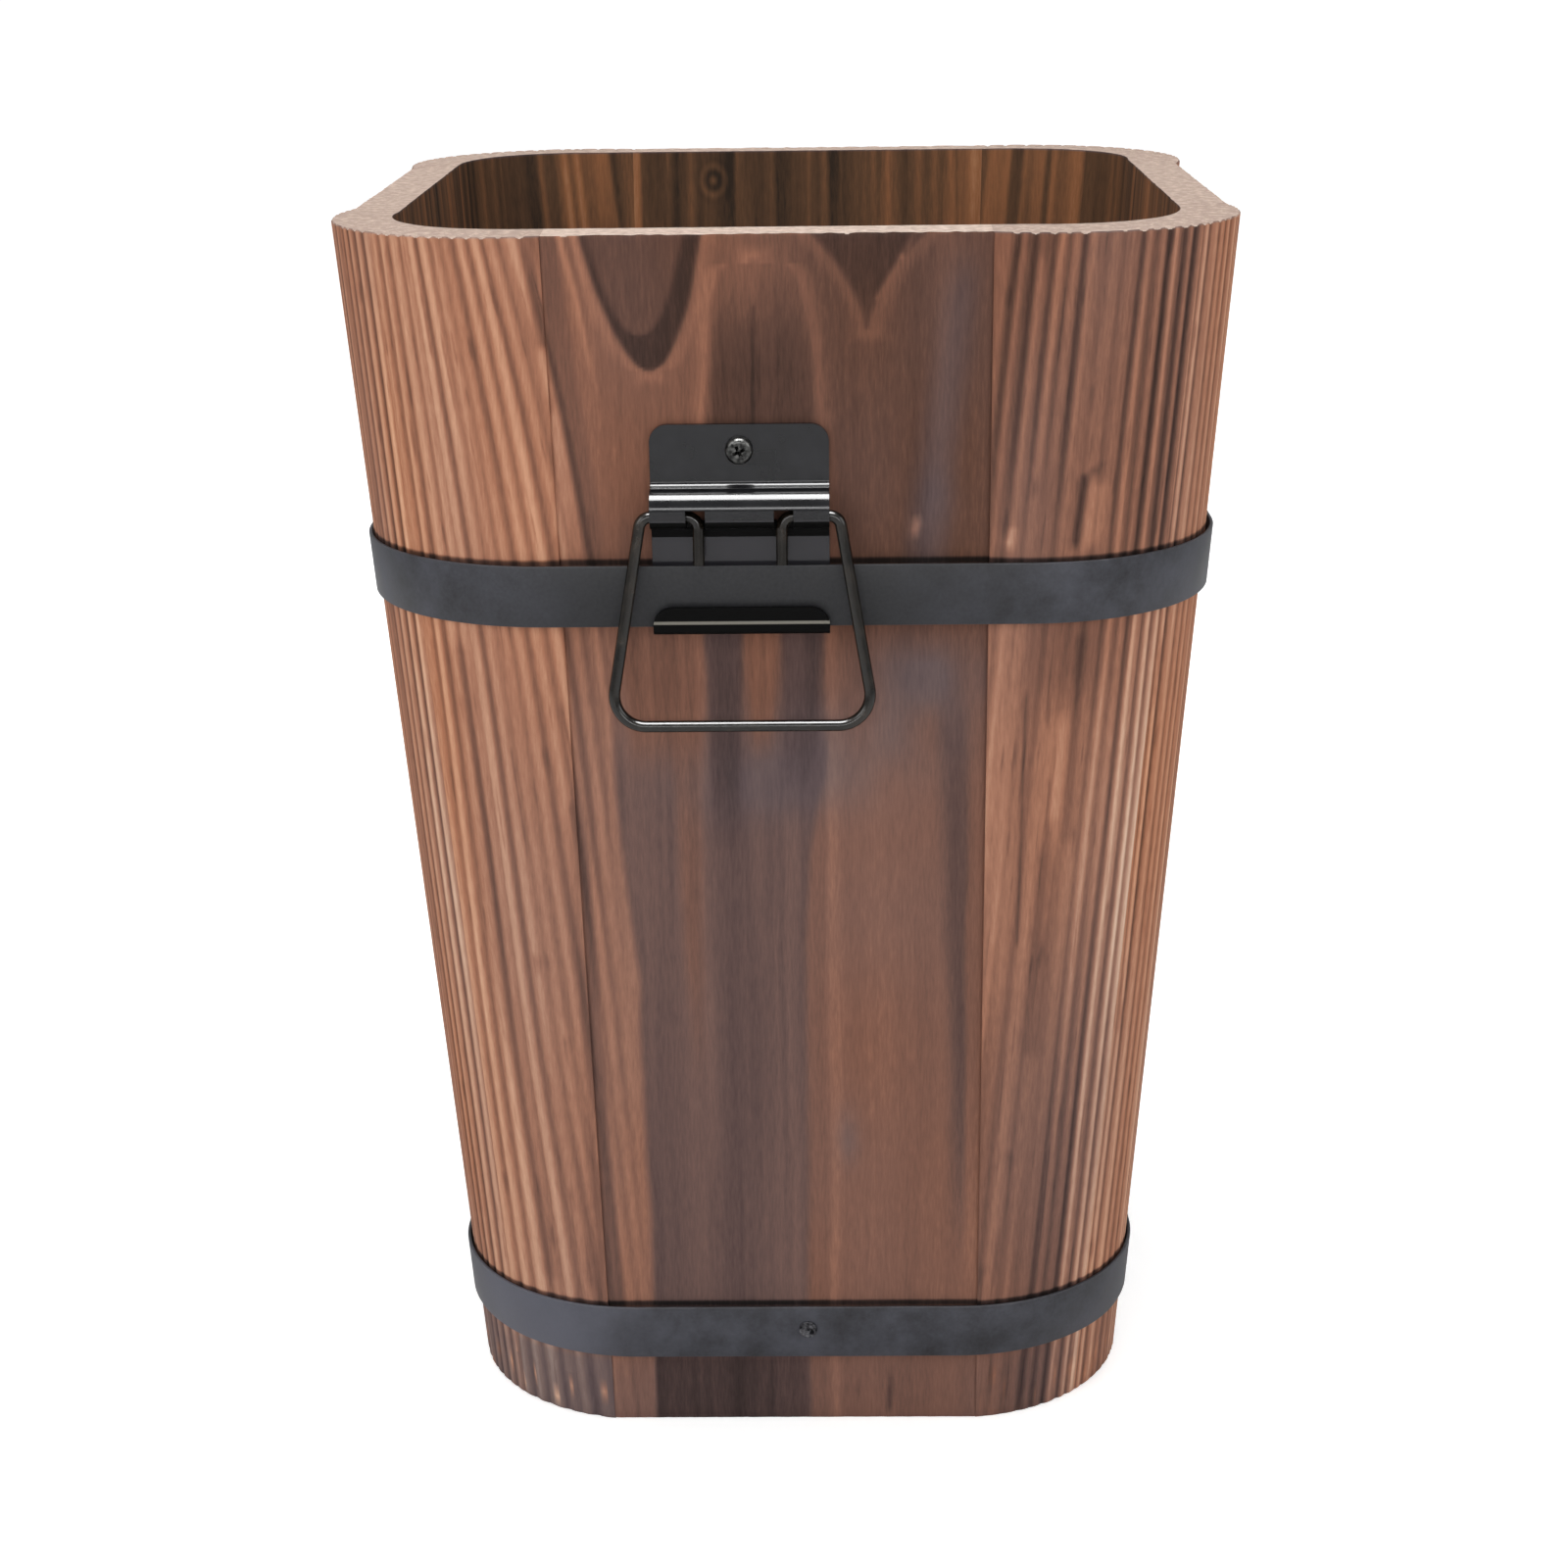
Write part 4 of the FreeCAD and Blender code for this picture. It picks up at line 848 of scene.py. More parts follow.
def make_charred_fir(name, browns):
    material, tree, shader, place = new_material(name)
    fine, long = 1 / (PORE_MM * MM), 1 / (PORE_LENGTH_MM * MM)
    stretched = add_node(tree, "Mapping", {"Vector": place, "Scale": (fine, fine, long)})
    pores = add_node(tree, "TexNoise", {"Vector": stretched, "Scale": 1.0, "Detail": 4.0, "Roughness": 0.6})
    tone = add_node(tree, "Attribute", attribute_name="tone").outputs["Fac"]
    smoke_and_cool_light = add_node(tree, "Attribute", attribute_name="smoke_and_cool_light").outputs["Fac"]
    streaky = add_node(tree, "MapRange", {"Value": pores, "From Min": 0.25, "From Max": 0.75,
                                          "To Min": -PORE_TONE, "To Max": PORE_TONE})
    burn = add_node(tree, "Math", {0: tone, 1: streaky}, operation="ADD")
    brown = add_node(tree, "ValToRGB", {"Fac": burn}, browns)
    ashen = add_node(tree, "ValToRGB", {"Fac": burn}, SMOKE_GREYS)
    wood = add_node(tree, "Mix", {0: smoke_and_cool_light, 6: brown, 7: ashen}, data_type="RGBA").outputs[2]
    normal = add_node(tree, "NewGeometry").outputs["Normal"]
    facing = add_node(tree, "SeparateXYZ", {0: normal}).outputs["Z"]
    end = add_node(tree, "MapRange", {"Value": facing, "From Min": 0.55, "From Max": 0.85})
    rings = add_node(tree, "TexNoise", {"Vector": place, "Scale": 1 / (END_GRAIN_MM * MM), "Detail": 5.0,
                                        "Roughness": 0.65})
    dirt = add_node(tree, "Math", {0: smoke_and_cool_light, 1: END_SOOT, 2: rings}, operation="MULTIPLY_ADD")
    sawn = add_node(tree, "ValToRGB", {"Fac": dirt}, SAWN_GREYS)
    colour = add_node(tree, "Mix", {0: end, 6: wood, 7: sawn}, data_type="RGBA").outputs[2]
    gloss = add_node(tree, "MapRange", {"Value": pores, "To Min": 0.78, "To Max": 0.62})
    bump = add_node(tree, "Bump", {"Height": pores, "Strength": 0.3, "Distance": PORE_DEPTH_MM * MM})
    set_inputs(tree, shader, {"Base Color": colour, "Roughness": gloss, "Specular IOR Level": 0.05,
                              "Normal": bump})
    return material


wood_finishes = [make_charred_fir("charred_brushed_fir", BRUSHED_BROWNS),
                 make_charred_fir("scorched_inner_fir", SCORCHED_BROWNS)]
for piece in wood_pieces:
    for finish in wood_finishes:
        piece.data.materials.append(finish)
print([finish.name for finish in wood_finishes], "on", len(wood_pieces), "pieces")

# %% [markdown]
# ## Floor planks
# The floor is three planed planks that stand in a groove of the staves. Nobody sees their edges, so the
# CAD solids stay and only get a finish: the same fir, unburnt but stained by soil and water, with
# straight grain along the planks.

# %% Stained floor fir
GRAIN_MM, GRAIN_LENGTH_MM, GRAIN_DEPTH_MM, STAIN_MM = 3.0, 90.0, 0.4, 60.0
PLANK_BROWNS = [(0.3, "#5c4232"), (0.72, "#8f6b50"), (0.5, "#765540")]


def refinish(names, material):
    """Puts a material on CAD nodes in the place of their plain one."""
    for name in names:
        nodes[name].data.materials.clear()
        nodes[name].data.materials.append(material)
    print(material.name, "on", names)


def make_floor_fir():
    material, tree, shader, place = new_material("stained_floor_fir")
    fine, long = 1 / (GRAIN_MM * MM), 1 / (GRAIN_LENGTH_MM * MM)
    along = add_node(tree, "Mapping", {"Vector": place, "Scale": (fine, long, fine)})
    grain = add_node(tree, "TexNoise", {"Vector": along, "Scale": 1.0, "Detail": 5.0, "Roughness": 0.6})
    stain = add_node(tree, "TexNoise", {"Vector": place, "Scale": 1 / (STAIN_MM * MM), "Detail": 3.0})
    brown = add_node(tree, "ValToRGB", {"Fac": grain}, PLANK_BROWNS)
    wet = add_node(tree, "MapRange", {"Value": stain, "From Min": 0.4, "From Max": 0.7, "To Max": 0.6})
    colour = add_node(tree, "Mix", {0: wet, 6: brown, 7: linear("#43342b")}, data_type="RGBA").outputs[2]
    bump = add_node(tree, "Bump", {"Height": grain, "Strength": 0.4, "Distance": GRAIN_DEPTH_MM * MM})
    set_inputs(tree, shader, {"Base Color": colour, "Roughness": 0.75, "Specular IOR Level": 0.25,
                              "Normal": bump})
    return material


refinish(["floor_left_plank", "floor_middle_plank", "floor_right_plank"], make_floor_fir())

# %% [markdown]
# ## Strap hoops
# A hoop is a thin steel strap, pulled tight over the corner staves and painted. It is made as a strap is:
# a thin open band with the barrel's outline and taper, then a thickness, then the small round that
# rolling leaves on its edges. Drawn a little narrower and tighter than the plain CAD ring, it leaves room
# for the painted shade line along its top, where the gap under its edge lies in shadow. Places on its
# outline are written as complex numbers, x + iy, because a quarter turn is then a product with i.

# %% Hoop bands
STRAP_WIDTH, STRAP_THICK, STRAP_CLEAR = 16.2, 0.95, 0.2
STRAP_POINTS, ARC_POINTS = 384, 60
STRAP_WAVE, WAVE_POINTS = 0.0006, 9.0
STRAP_ROUND, LAP_ROUND = 0.3, 0.45


def apply_modifier(piece, kind, **settings):
    modifier = piece.modifiers.new(kind.lower(), kind)
    for name, value in settings.items():
        setattr(modifier, name, value)
    only_select(piece)
    bpy.ops.object.modifier_apply(modifier=modifier.name)


def soften_edges(piece, width, segments=2, limit=40):
    """Rounds the edges that are sharper than a limit in degrees, by a width in mm."""
    apply_modifier(piece, "BEVEL", width=width * MM, segments=segments, limit_method="ANGLE",
                   angle_limit=math.radians(limit))
    bpy.ops.object.shade_smooth_by_angle(angle=math.radians(limit))


def strap_half(height):
    """Half the width that a tight strap spans, over the corner staves."""
    reach = between(FOOT_REACH, RIM_REACH, height)
    return max(reach - (1 - 1 / math.sqrt(2)) * between(*pair, height) for pair in ARC_CENTRES.values())


def strap_outline(height):
    """Even points on the rounded square that the strap's inside follows, anticlockwise from +X."""
    half = strap_half(height) + STRAP_CLEAR
    reach = between(FOOT_REACH, RIM_REACH, height) + STRAP_CLEAR
    flat = (reach - half) / (math.sqrt(2) - 1)
    corner = flat * (1 + 1j) + (half - flat) * np.exp(1j * np.linspace(0, math.pi / 2, ARC_POINTS))
    quarter = np.concatenate([[half], corner])
    loop = np.concatenate([quarter * 1j ** turn for turn in range(4)] + [quarter[:1]])
    along = np.concatenate([[0], np.cumsum(np.abs(np.diff(loop)))])
    return np.interp(np.linspace(0, along[-1], STRAP_POINTS, endpoint=False), along, loop)


def make_band(name, low, seed):
    band = start_piece(bpy.ops.mesh.primitive_cylinder_add, name, vertices=STRAP_POINTS, radius=1, depth=1,
                       end_fill_type="NOTHING")
    place = read_places(band)
    turn = np.arctan2(place[:, 1], place[:, 0]) / (2 * math.pi)
    point = np.rint(turn * STRAP_POINTS).astype(int) % STRAP_POINTS
    upper = place[:, 2] > 0
    outline = np.where(upper, strap_outline(low + STRAP_WIDTH)[point], strap_outline(low)[point])
    outline *= 1 + STRAP_WAVE * (1 + wander(seed, point / WAVE_POINTS, upper * 0.5))
    set_places(band, outline.real, outline.imag, low + STRAP_WIDTH * upper)
    apply_modifier(band, "SOLIDIFY", thickness=STRAP_THICK * MM, offset=1.0)
    soften_edges(band, STRAP_ROUND)
    return band


print(f"strap spans {2 * strap_half(HOOP_TOPS[1]):.1f} mm at the upper hoop")

# %% [markdown]
# Where the strap's ends overlap, a second layer lies on the first. This lap is a short strip on top of
# the band. A cube is enough of a start for it: its eight corners go to the corners of the strip, and a
# bevel rounds the sheared ends.

# %% Laps and finished hoops
LAP_LEFT, LAP_RIGHT = -13.0, 19.0


def join_pieces(pieces, name):
    only_select(pieces[0])
    for piece in pieces[1:]:
        piece.select_set(True)
    bpy.ops.object.join()
    pieces[0].name = name
    return pieces[0]


def make_lap(name, low, side):
    lap = start_piece(bpy.ops.mesh.primitive_cube_add, name, size=2)
    for vertex in lap.data.vertices:
        right, front, high = (c > 0 for c in vertex.co)
        z = low + STRAP_WIDTH * high
        out = strap_half(z) + STRAP_CLEAR + (STRAP_THICK / 2 if front else 2 * STRAP_THICK)
        x, y = turned(LAP_RIGHT if right else LAP_LEFT, -out, side)
        vertex.co = (x * MM, y * MM, z * MM)
    with editing(lap):
        bpy.ops.mesh.normals_make_consistent(inside=False)
    soften_edges(lap, LAP_ROUND, 3)
    return lap


hoops = []
for name, low, lap_side, seed in (("upper_hoop", 240.7, "left", 5), ("lower_hoop", 22.2, "rear", 6)):
    layers = [make_band(f"{name}_strap", low, seed), make_lap(f"{name}_lap", low, lap_side)]
    hoops.append(dress(join_pieces(layers, f"{name}_strap"), name))
print([(hoop.name, len(hoop.data.polygons)) for hoop in hoops])

# %% [markdown]
# ## Black enamel
# The straps are sprayed with a thin satin enamel over steel. The film is charcoal with a cold tint,
# slightly uneven, and it wears to a paler grey along edges. Behind the bails it is darker, as painted shade
# from the bail and the bracket, and one corner of the lower hoop is paler and bluer.

# %% Enamel for straps
CLOUD_MM, SPECK_MM, SPECK_DEPTH_MM = 16.0, 0.9, 0.1
BAIL_SHADE_SPOTS, BAIL_SHADE_NEAR, BAIL_SHADE_FAR = [(-12, -113, 249), (12, 113, 249)], 35, 85
PALER_CORNER, PALER_NEAR, PALER_FAR = (-78, -88, 30), 12, 42


def make_strap_enamel():
    material, tree, shader, place = new_material("satin_strap_enamel")
    clouds = add_node(tree, "TexNoise", {"Vector": place, "Scale": 1 / (CLOUD_MM * MM), "Detail": 5.0,
                                         "Roughness": 0.65})
    specks = add_node(tree, "TexNoise", {"Vector": place, "Scale": 1 / (SPECK_MM * MM), "Detail": 3.0})
    gaps = [add_node(tree, "VectorMath", {0: place, 1: Vector(spot) * MM}, operation="DISTANCE")
            for spot in (*BAIL_SHADE_SPOTS, PALER_CORNER)]
    front_bail, rear_bail, corner = (gap.outputs["Value"] for gap in gaps)
    bail = add_node(tree, "Math", {0: front_bail, 1: rear_bail}, operation="MINIMUM")
    # Painted shade: the strap darkens towards the spots behind the two bails.
    bail_shade = add_node(tree, "MapRange", {"Value": bail, "From Min": BAIL_SHADE_FAR * MM,
                                       "From Max": BAIL_SHADE_NEAR * MM})
    # One front corner of the lower hoop is painted paler and bluer.
    paler_corner = add_node(tree, "MapRange", {"Value": corner, "From Min": PALER_FAR * MM,
                                          "From Max": PALER_NEAR * MM, "To Max": 0.7})
    sharp = add_node(tree, "MapRange", {"Value": add_node(tree, "NewGeometry").outputs["Pointiness"],
                                        "From Min": 0.53, "From Max": 0.62})
    rubbed = add_node(tree, "Math", {0: sharp, 1: specks}, operation="MULTIPLY")
    colour = add_node(tree, "ValToRGB", {"Fac": clouds}, [(0.32, "#19191c"), (0.7, "#41424a")])
    for share, paint in ((bail_shade, "#18181a"), (paler_corner, "#5a5b66"), (rubbed, "#74757b")):
        colour = add_node(tree, "Mix", {0: share, 6: colour, 7: linear(paint)}, data_type="RGBA").outputs[2]
    uneven = add_node(tree, "MapRange", {"Value": clouds, "From Min": 0.3, "From Max": 0.7, "To Min": 0.39,
                                         "To Max": 0.55})
    bump = add_node(tree, "Bump", {"Height": specks, "Strength": 0.12, "Distance": SPECK_DEPTH_MM * MM})
    set_inputs(tree, shader, {"Base Color": colour, "Roughness": uneven, "Specular IOR Level": 0.3,
                              "Normal": bump})
    return material


strap_enamel = make_strap_enamel()
for hoop in hoops:
    hoop.data.materials.append(strap_enamel)
print(strap_enamel.name, "on", len(hoops), "hoops")

# %% [markdown]
# The bracket was dipped, so its plate and bead are glossy. The fold under the bead and the hook are
# painted near black and dull, as painted shade under the bead and inside the hook, and a line above the
# hook's bottom bend is a painted highlight in pale steel grey. Gloss is one number for a whole material,
# so the painted shade gets a dull material of its own. Below the fold the gloss film is painted a little
# greyer, as painted light on the lit lower plate.

# %% Enamel for brackets
# Heights of the painted highlight line above the hook's bottom bend, in mm.
HOOK_TOP, GLINT_TOP, GLINT_FOOT, GLINT_SOFT = 247.0, 242.4, 241.8, 0.2
FOLD_TOP, FOLD_FOOT, FOLD_SOFT = 269.3, 263.9, 0.6
DIP_CLOUD_MM = 8.0


def make_bracket_gloss():
    material, tree, shader, place = new_material("gloss_bracket_enamel")
    height = add_node(tree, "SeparateXYZ", {0: place}).outputs["Z"]
    clouds = add_node(tree, "TexNoise", {"Vector": place, "Scale": 1 / (DIP_CLOUD_MM * MM), "Detail": 4.0})
    film = add_node(tree, "ValToRGB", {"Fac": clouds}, [(0.32, "#161618"), (0.7, "#1f1f22")])
    # Painted light: below the fold the film is greyer, where the lower plate is lit.
    lit_lower_plate = add_node(tree, "MapRange", {"Value": height, "From Min": (FOLD_TOP + FOLD_SOFT) * MM,
                                       "From Max": FOLD_TOP * MM})
    colour = add_node(tree, "Mix", {0: lit_lower_plate, 6: film, 7: linear("#29282c")}, data_type="RGBA").outputs[2]
    uneven = add_node(tree, "MapRange", {"Value": clouds, "From Min": 0.3, "From Max": 0.7, "To Min": 0.11,
                                         "To Max": 0.18})
    set_inputs(tree, shader, {"Base Color": colour, "Roughness": uneven, "Specular IOR Level": 0.36})
    return material


def make_bracket_painted_shade():
    material, tree, shader, place = new_material("painted_shade_bracket_enamel")
    height = add_node(tree, "SeparateXYZ", {0: place}).outputs["Z"]
    below, above = (add_node(tree, "MapRange", {"Value": height, "From Min": (edge + soft) * MM,
                                                "From Max": edge * MM})
                    for edge, soft in ((GLINT_TOP, GLINT_SOFT), (GLINT_FOOT, -GLINT_SOFT)))
    line = add_node(tree, "Math", {0: below, 1: above}, operation="MULTIPLY")
    # Painted shade in near black, with a painted highlight line in pale steel grey.
    colour = add_node(tree, "Mix", {0: line, 6: linear("#070707"), 7: linear("#76736b")},
                      data_type="RGBA").outputs[2]
    set_inputs(tree, shader, {"Base Color": colour, "Roughness": 0.4, "Specular IOR Level": 0.05})
    return material


bracket_enamels = [make_bracket_gloss(), make_bracket_painted_shade()]
print([enamel.name for enamel in bracket_enamels])

# %% [markdown]
# ## Brackets
# The bracket is pressed from 1.2 mm sheet: a screw plate, a bead that traps the bail's top bar, and a
# hook round the hoop. The CAD solid has all of that, and only its sheared edges are too sharp. A copy of
# its mesh is welded, because CAD faces come as loose triangles, and cut level with the fold and the hook,
# where its enamel changes. A fine bevel eases the edges.

# %% Eased copies of the brackets
WELD_GAP, EASED_WIDTH = 0.002, 0.18


def ease_copy(node_name, new_name):
    mesh = nodes[node_name].data.copy()
    mesh.materials.clear()
    copy = bpy.data.objects.new(new_name, mesh)
    bpy.context.scene.collection.objects.link(copy)
    only_select(copy)
    bpy.ops.mesh.customdata_custom_splitnormals_clear()
    with editing(copy):
        bpy.ops.mesh.remove_doubles(threshold=WELD_GAP * MM)
        bpy.ops.mesh.dissolve_limited(angle_limit=math.radians(1))
        for height in (HOOK_TOP, FOLD_FOOT, FOLD_TOP):
            bpy.ops.mesh.select_all(action="SELECT")
            bpy.ops.mesh.bisect(plane_co=(0, 0, height * MM), plane_no=(0, 0, 1))
    soften_edges(copy, EASED_WIDTH)
    apply_modifier(copy, "WEIGHTED_NORMAL", keep_sharp=True)
    for face in copy.data.polygons:
        height = face.center.z / MM
        # Faces of the fold and the hook get the painted shade material.
        face.material_index = int(height < HOOK_TOP or FOLD_FOOT < height < FOLD_TOP)
    return copy


for side in ("front", "rear"):
    name = f"{side}_bracket"
    bracket = dress(ease_copy(name, f"{name}_pressed"), name)
    for enamel in bracket_enamels:
        bracket.data.materials.append(enamel)
    print(bracket.name, len(bracket.data.polygons), "faces")

# %% [markdown]
# ## Bail handles
# The bail is a bent 3 mm wire. The CAD solid is a true sweep of that wire, so it stays, and its finish
# does the work: black lacquer that has rubbed thin to a brown sheen, glossy enough for a bright line
# along the top of each bar.

# %% Lacquered wire
WIRE_RUB_MM, WIRE_RUB_DEPTH_MM = 5.0, 0.15
WIRE_BROWNS = [(0.35, "#0d0b08"), (0.75, "#2c241c"), (0.55, "#17130e")]


def make_wire_lacquer():
    material, tree, shader, place = new_material("rubbed_wire_lacquer")
    rubs = add_node(tree, "TexNoise", {"Vector": place, "Scale": 1 / (WIRE_RUB_MM * MM), "Detail": 5.0,
                                       "Roughness": 0.6})
    film = add_node(tree, "ValToRGB", {"Fac": rubs}, WIRE_BROWNS)
    gloss = add_node(tree, "MapRange", {"Value": rubs, "From Min": 0.3, "From Max": 0.7, "To Min": 0.14,
                                        "To Max": 0.26})
    bump = add_node(tree, "Bump", {"Height": rubs, "Strength": 0.15, "Distance": WIRE_RUB_DEPTH_MM * MM})
    set_inputs(tree, shader, {"Base Color": film, "Roughness": gloss, "Specular IOR Level": 0.46,
                              "Normal": bump})
    return material


refinish(["front_handle", "rear_handle"], make_wire_lacquer())

# %% [markdown]
# ## Bracket screws
# A pan-head screw with a cross recess holds each bracket. The head starts as a cylinder with its top edge
# bevelled round, and two crossed wedges are cut from it with a Boolean, as the header punch presses them.
# The shank is a thin cylinder behind it, in the wood. A screw is modelled upright, with its seat at the
# origin, and then carried to the sloping face of its board.

# %% Pan-head screws
FACE_SLOPE = math.atan2(RIM_HALF - FOOT_HALF, HEIGHT)
BRACKET_X, HINGE_HEIGHT, SCREW_RISE, SHEET = -12.0, 270.0, 16.5, 1.2
HEAD_RADIUS, HEAD_HEIGHT, HEAD_ROUND = 3.5, 2.4, 1.4
RECESS_TURNS, RECESS_MIDDLE, RECESS_DEPTH = (25, 115), 1.9, 2.2
RECESS_TIP, RECESS_TOP, RECESS_THINNED = 0.6, 2.9, 0.27
SCREW_SHANK, SHANK_SINK = (1.75, 10.2), 0.1


def on_face(piece, x, height, rise, out, side):
    """Carries a piece modelled along +Z, with its seat at the origin, to a board's sloping face."""
    half = between(FOOT_HALF, RIM_HALF, height)
    stand = Matrix.Rotation(math.radians(90), 4, "X")
    lean = Matrix.Rotation(FACE_SLOPE, 4, "X")
    lift = Matrix.Translation((0, -out * MM, rise * MM))
    place = Matrix.Translation((x * MM, -half * MM, height * MM))
    spin = Matrix.Rotation(math.radians(SIDE_TURN[side]), 4, "Z")
    piece.data.transform(spin @ place @ lean @ lift @ stand)


def turn_rod(name, vertices, radius, length, middle):
    """Upright cylinder in mm, with its middle at a height."""
    return start_piece(bpy.ops.mesh.primitive_cylinder_add, name, vertices=vertices, radius=radius * MM,
                       depth=length * MM, location=(0, 0, middle * MM))


def add_shank(head, vertices, radius, length):
    """Joins a shank to a head, sunk into it a little."""
    shank = turn_rod("shank", vertices, radius, length, SHANK_SINK - length / 2)
    return join_pieces([head, shank], head.name)


def make_screw(side):
    head = turn_rod(f"{side}_screw", 64, HEAD_RADIUS, HEAD_HEIGHT, HEAD_HEIGHT / 2)
    with editing(head):
        bpy.ops.mesh.select_all(action="DESELECT")
    for edge in head.data.edges:
        edge.select = all(head.data.vertices[v].co.z > HEAD_HEIGHT / 2 * MM for v in edge.vertices)
    bpy.ops.object.mode_set(mode="EDIT")
    bpy.ops.mesh.select_mode(type="EDGE")
    bpy.ops.mesh.bevel(offset=HEAD_ROUND * MM, segments=6, affect="EDGES")
    bpy.ops.object.mode_set(mode="OBJECT")
    for turn in RECESS_TURNS:
        bpy.ops.mesh.primitive_cone_add(vertices=4, radius1=RECESS_TIP * MM, radius2=RECESS_TOP * MM,
                                        depth=RECESS_DEPTH * MM, location=(0, 0, RECESS_MIDDLE * MM),
                                        rotation=(0, 0, math.radians(45)))
        wedge = bpy.context.active_object
        bpy.ops.object.transform_apply(location=False, rotation=True, scale=False)
        wedge.scale = (1.0, RECESS_THINNED, 1.0)
        wedge.rotation_euler = (0, 0, math.radians(turn))
        apply_modifier(head, "BOOLEAN", object=wedge, operation="DIFFERENCE")
        bpy.data.objects.remove(wedge)
    add_shank(head, 24, *SCREW_SHANK)
    bpy.ops.object.shade_smooth_by_angle(angle=math.radians(35))
    on_face(head, BRACKET_X, HINGE_HEIGHT, SCREW_RISE, SHEET, side)
    return head


screw_pair = join_pieces([make_screw(side) for side in ("front", "rear")], "bracket_screws_punched")
dress(screw_pair, "bracket_screws")
print(screw_pair.name, len(screw_pair.data.polygons), "faces")

# %% [markdown]
# ## Hoop nails
# A flat-headed nail holds each hoop on the middle of a side. The hammer leaves its head slightly domed
# and dented. The head is a cylinder with a bevelled rim, and its top is inset and pushed in off centre.

# %% Nails
NAIL_X, NAIL_RADIUS, NAIL_HEIGHT = 3.0, 2.5, 0.8
NAIL_MARGINS, NAIL_ROUND, DENT = (0.45, 0.5), 0.2, (0.25, 0.1, -0.3)
NAIL_SHANK = (1.0, 11.0)


def make_nail(height, straps, side):
    nail = turn_rod("nail", 40, NAIL_RADIUS, NAIL_HEIGHT, NAIL_HEIGHT / 2)
    for face in nail.data.polygons:
        face.select = face.normal.z > 0.9
    bpy.ops.object.mode_set(mode="EDIT")
    bpy.ops.mesh.select_mode(type="FACE")
    for margin in NAIL_MARGINS:
        bpy.ops.mesh.inset(thickness=margin * MM, depth=0.0)
    bpy.ops.transform.translate(value=[shift * MM for shift in DENT])
    bpy.ops.object.mode_set(mode="OBJECT")
    soften_edges(nail, NAIL_ROUND, 3)
    add_shank(nail, 20, *NAIL_SHANK)
    above_face = strap_half(height) - between(FOOT_HALF, RIM_HALF, height)
    out = (above_face + STRAP_CLEAR + straps * STRAP_THICK) * math.cos(FACE_SLOPE)
    on_face(nail, NAIL_X, height, 0.0, out, side)
    return nail


nail_sets = []
for name, height, sides, lap_side in (("upper_hoop_nails", 250.0, ("left", "right"), "left"),
                                      ("lower_hoop_nails", 31.5, SIDE_TURN, "rear")):
    nails = [make_nail(height, 2 if side == lap_side else 1, side) for side in sides]
    nail_sets.append(dress(join_pieces(nails, f"{name}_hammered"), name))
print([piece.name for piece in nail_sets])

# %% [markdown]
# ## Steel of screws and nails
# The screw is zinc-plated steel that has gone dark grey, and the nails are bright steel with the hoop's
# paint half knocked off. Both are metals, so their colour is their reflection, and a mottled roughness
# keeps them from looking like chrome.

# %% Weathered steel


def make_steel(name, dark, light, roughness, mottle_mm):
    material, tree, shader, place = new_material(name)
    mottle = add_node(tree, "TexNoise", {"Vector": place, "Scale": 1 / (mottle_mm * MM), "Detail": 4.0,
                                         "Roughness": 0.6})
    colour = add_node(tree, "ValToRGB", {"Fac": mottle}, [(0.38, dark), (0.66, light)])
    uneven = add_node(tree, "MapRange", {"Value": mottle, "To Min": roughness + 0.15,
                                         "To Max": roughness - 0.1})
    set_inputs(tree, shader, {"Base Color": colour, "Roughness": uneven, "Metallic": 1.0})
    return material


screw_pair.data.materials.append(make_steel("darkened_zinc_screw", "#242424", "#686866", 0.3, 1.5))
nail_steel = make_steel("chipped_nail_steel", "#161618", "#6c6c70", 0.45, 1.3)
for piece in nail_sets:
    piece.data.materials.append(nail_steel)
print([piece.data.materials[0].name for piece in (screw_pair, *nail_sets)])

# %% [markdown]
# ## Studio
# A planter like this is shown on plain white. The floor is a large pale sheet that takes the soft shadow
# under the foot, and a little light of its own, seen by the camera only and stronger farther out, brings
# the sheet up to white without adding light to the wood. A strip lamp hangs above, another stands behind
# the camera, and two square lamps fill in from the left and the right.

# %% Floor and lamps
SHEET_SIZE, GLOW_NEAR, GLOW_FAR = 60, 0.3, 1.6


def make_white_sheet():
    material, tree, shader, place = new_material("white_paper_sheet")
    seen = add_node(tree, "LightPath").outputs["Is Camera Ray"]
    away = add_node(tree, "VectorMath", {0: place}, operation="LENGTH").outputs["Value"]
    glow = add_node(tree, "MapRange", {"Value": away, "From Min": GLOW_NEAR, "From Max": GLOW_FAR,
                                       "To Min": 0.48, "To Max": 0.68})
    lift = add_node(tree, "Math", {0: seen, 1: glow}, operation="MULTIPLY")
    set_inputs(tree, shader, {"Base Color": linear("#f4f4f4"), "Roughness": 0.9,
                              "Emission Color": linear("#ffffff"), "Emission Strength": lift})
    return material


paper = start_piece(bpy.ops.mesh.primitive_plane_add, "paper_floor", size=SHEET_SIZE)
paper.data.materials.append(make_white_sheet())


def hang_lamp(name, place, aim, width, height, watts):
    bpy.ops.object.light_add(type="AREA", location=place)
    lamp = bpy.context.active_object
    lamp.name = name
    lamp.data.shape = "RECTANGLE"
    lamp.data.size = width
    lamp.data.size_y = height
    lamp.data.energy = watts
    lamp.rotation_euler = (Vector(aim) - Vector(place)).to_track_quat("-Z", "Y").to_euler()
    return lamp


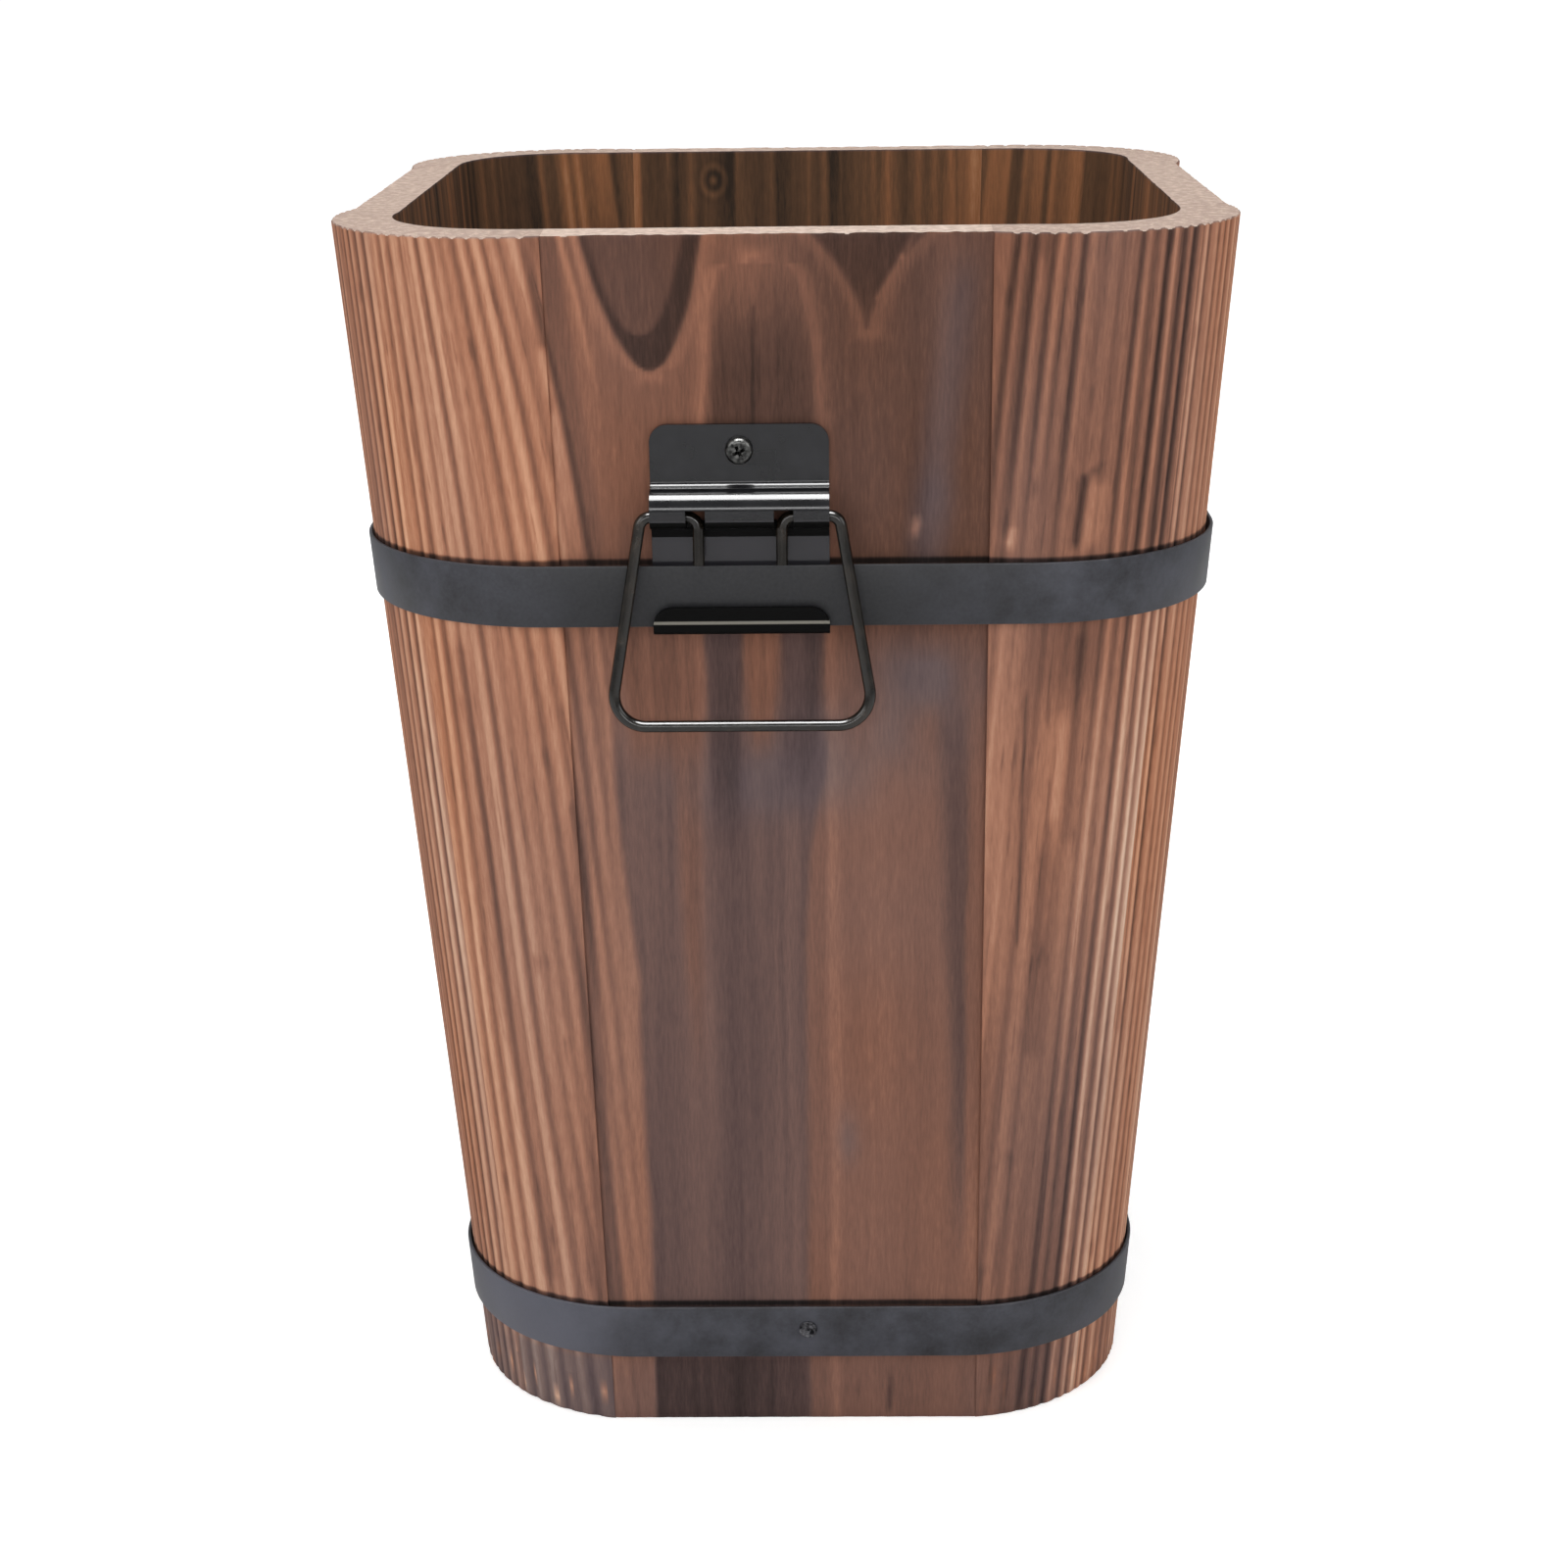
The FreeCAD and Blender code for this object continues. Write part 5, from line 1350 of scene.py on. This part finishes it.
lamps = [hang_lamp("overhead_strip", (-0.1, 0.3, 2.1), (0, -0.1, 0.25), 1.8, 0.18, 16),
         hang_lamp("front_strip", (0.0, -2.6, 0.86), (0, -0.1, 0.27), 2.0, 0.3, 19),
         hang_lamp("left_fill", (-1.5, -1.3, 1.3), (0, 0, 0.2), 1.0, 1.0, 12.5),
         hang_lamp("right_fill", (1.6, -1.0, 1.1), (0, 0, 0.2), 1.0, 1.0, 8)]
print(f"{len(lamps)} lamps, {sum(lamp.data.energy for lamp in lamps)} W")

# %% [markdown]
# Glossy enamel shows what stands round it, not how much light falls on it. A bright card hangs overhead
# like a ceiling and is kept out of the diffuse light, so it draws the white lines on the bead and the
# wire and leaves the wood as it is.

# %% Card for the enamel
card = hang_lamp("ceiling_card", (0, -0.2, 2.03), (0, -0.2, 0), 1.2, 1.7, 200)
card.visible_diffuse = False
print(card.name, card.data.energy, "W")

# %% [markdown]
# The world is a plain white room. It is dimmer as light than as a backdrop, so the far end of the sheet
# fades into it. The picture is shown as the lamps give it, with no film look.

# %% World
ROOM_LIGHT, ROOM_SHOWN = 0.4, 1.0

world = bpy.data.worlds.new("white_room")
world.use_nodes = True
room = world.node_tree
seen = add_node(room, "LightPath").outputs["Is Camera Ray"]
strength = add_node(room, "MapRange", {"Value": seen, "To Min": ROOM_LIGHT, "To Max": ROOM_SHOWN})
set_inputs(room, room.nodes["Background"], {"Color": linear("#ffffff"), "Strength": strength})
bpy.context.scene.world = world
bpy.context.scene.view_settings.view_transform = "Standard"
print(world.name, "lights at", ROOM_LIGHT)

# %% [markdown]
# ## Camera
# The camera's place was found by fitting the CAD outline to a picture of the real planter. It stands
# 0.8 m in front, a little above the rim, and looks 18 degrees down. Its axes are written as vectors,
# because a tiny roll is easier to keep that way than in Euler angles.

# %% Camera
CAMERA_PLACE = Vector((0.0095707, -0.7953463, 0.4209103))
YAW, PITCH, ROLL = 0.0166, 0.3152, -0.012
FOCAL_PIXELS, IMAGE_PIXELS, SENSOR_MM = 2819.92, 1600, 36.0

right = Vector((math.cos(YAW), math.sin(YAW), 0))
ahead = Vector((-math.sin(YAW), math.cos(YAW), 0))
forward = math.cos(PITCH) * ahead - math.sin(PITCH) * Vector((0, 0, 1))
up = math.sin(PITCH) * ahead + math.cos(PITCH) * Vector((0, 0, 1))
camera_x = math.cos(ROLL) * right + math.sin(ROLL) * up
camera_y = math.cos(ROLL) * up - math.sin(ROLL) * right
lens = bpy.data.cameras.new("product_camera")
lens.sensor_width = SENSOR_MM
lens.lens = FOCAL_PIXELS * SENSOR_MM / IMAGE_PIXELS
camera = bpy.data.objects.new("product_camera", lens)
bpy.context.scene.collection.objects.link(camera)
axes = Matrix((camera_x, camera_y, -forward)).transposed()
camera.matrix_world = Matrix.Translation(CAMERA_PLACE) @ axes.to_4x4()
bpy.context.scene.camera = camera
print(f"lens {lens.lens:.2f} mm")
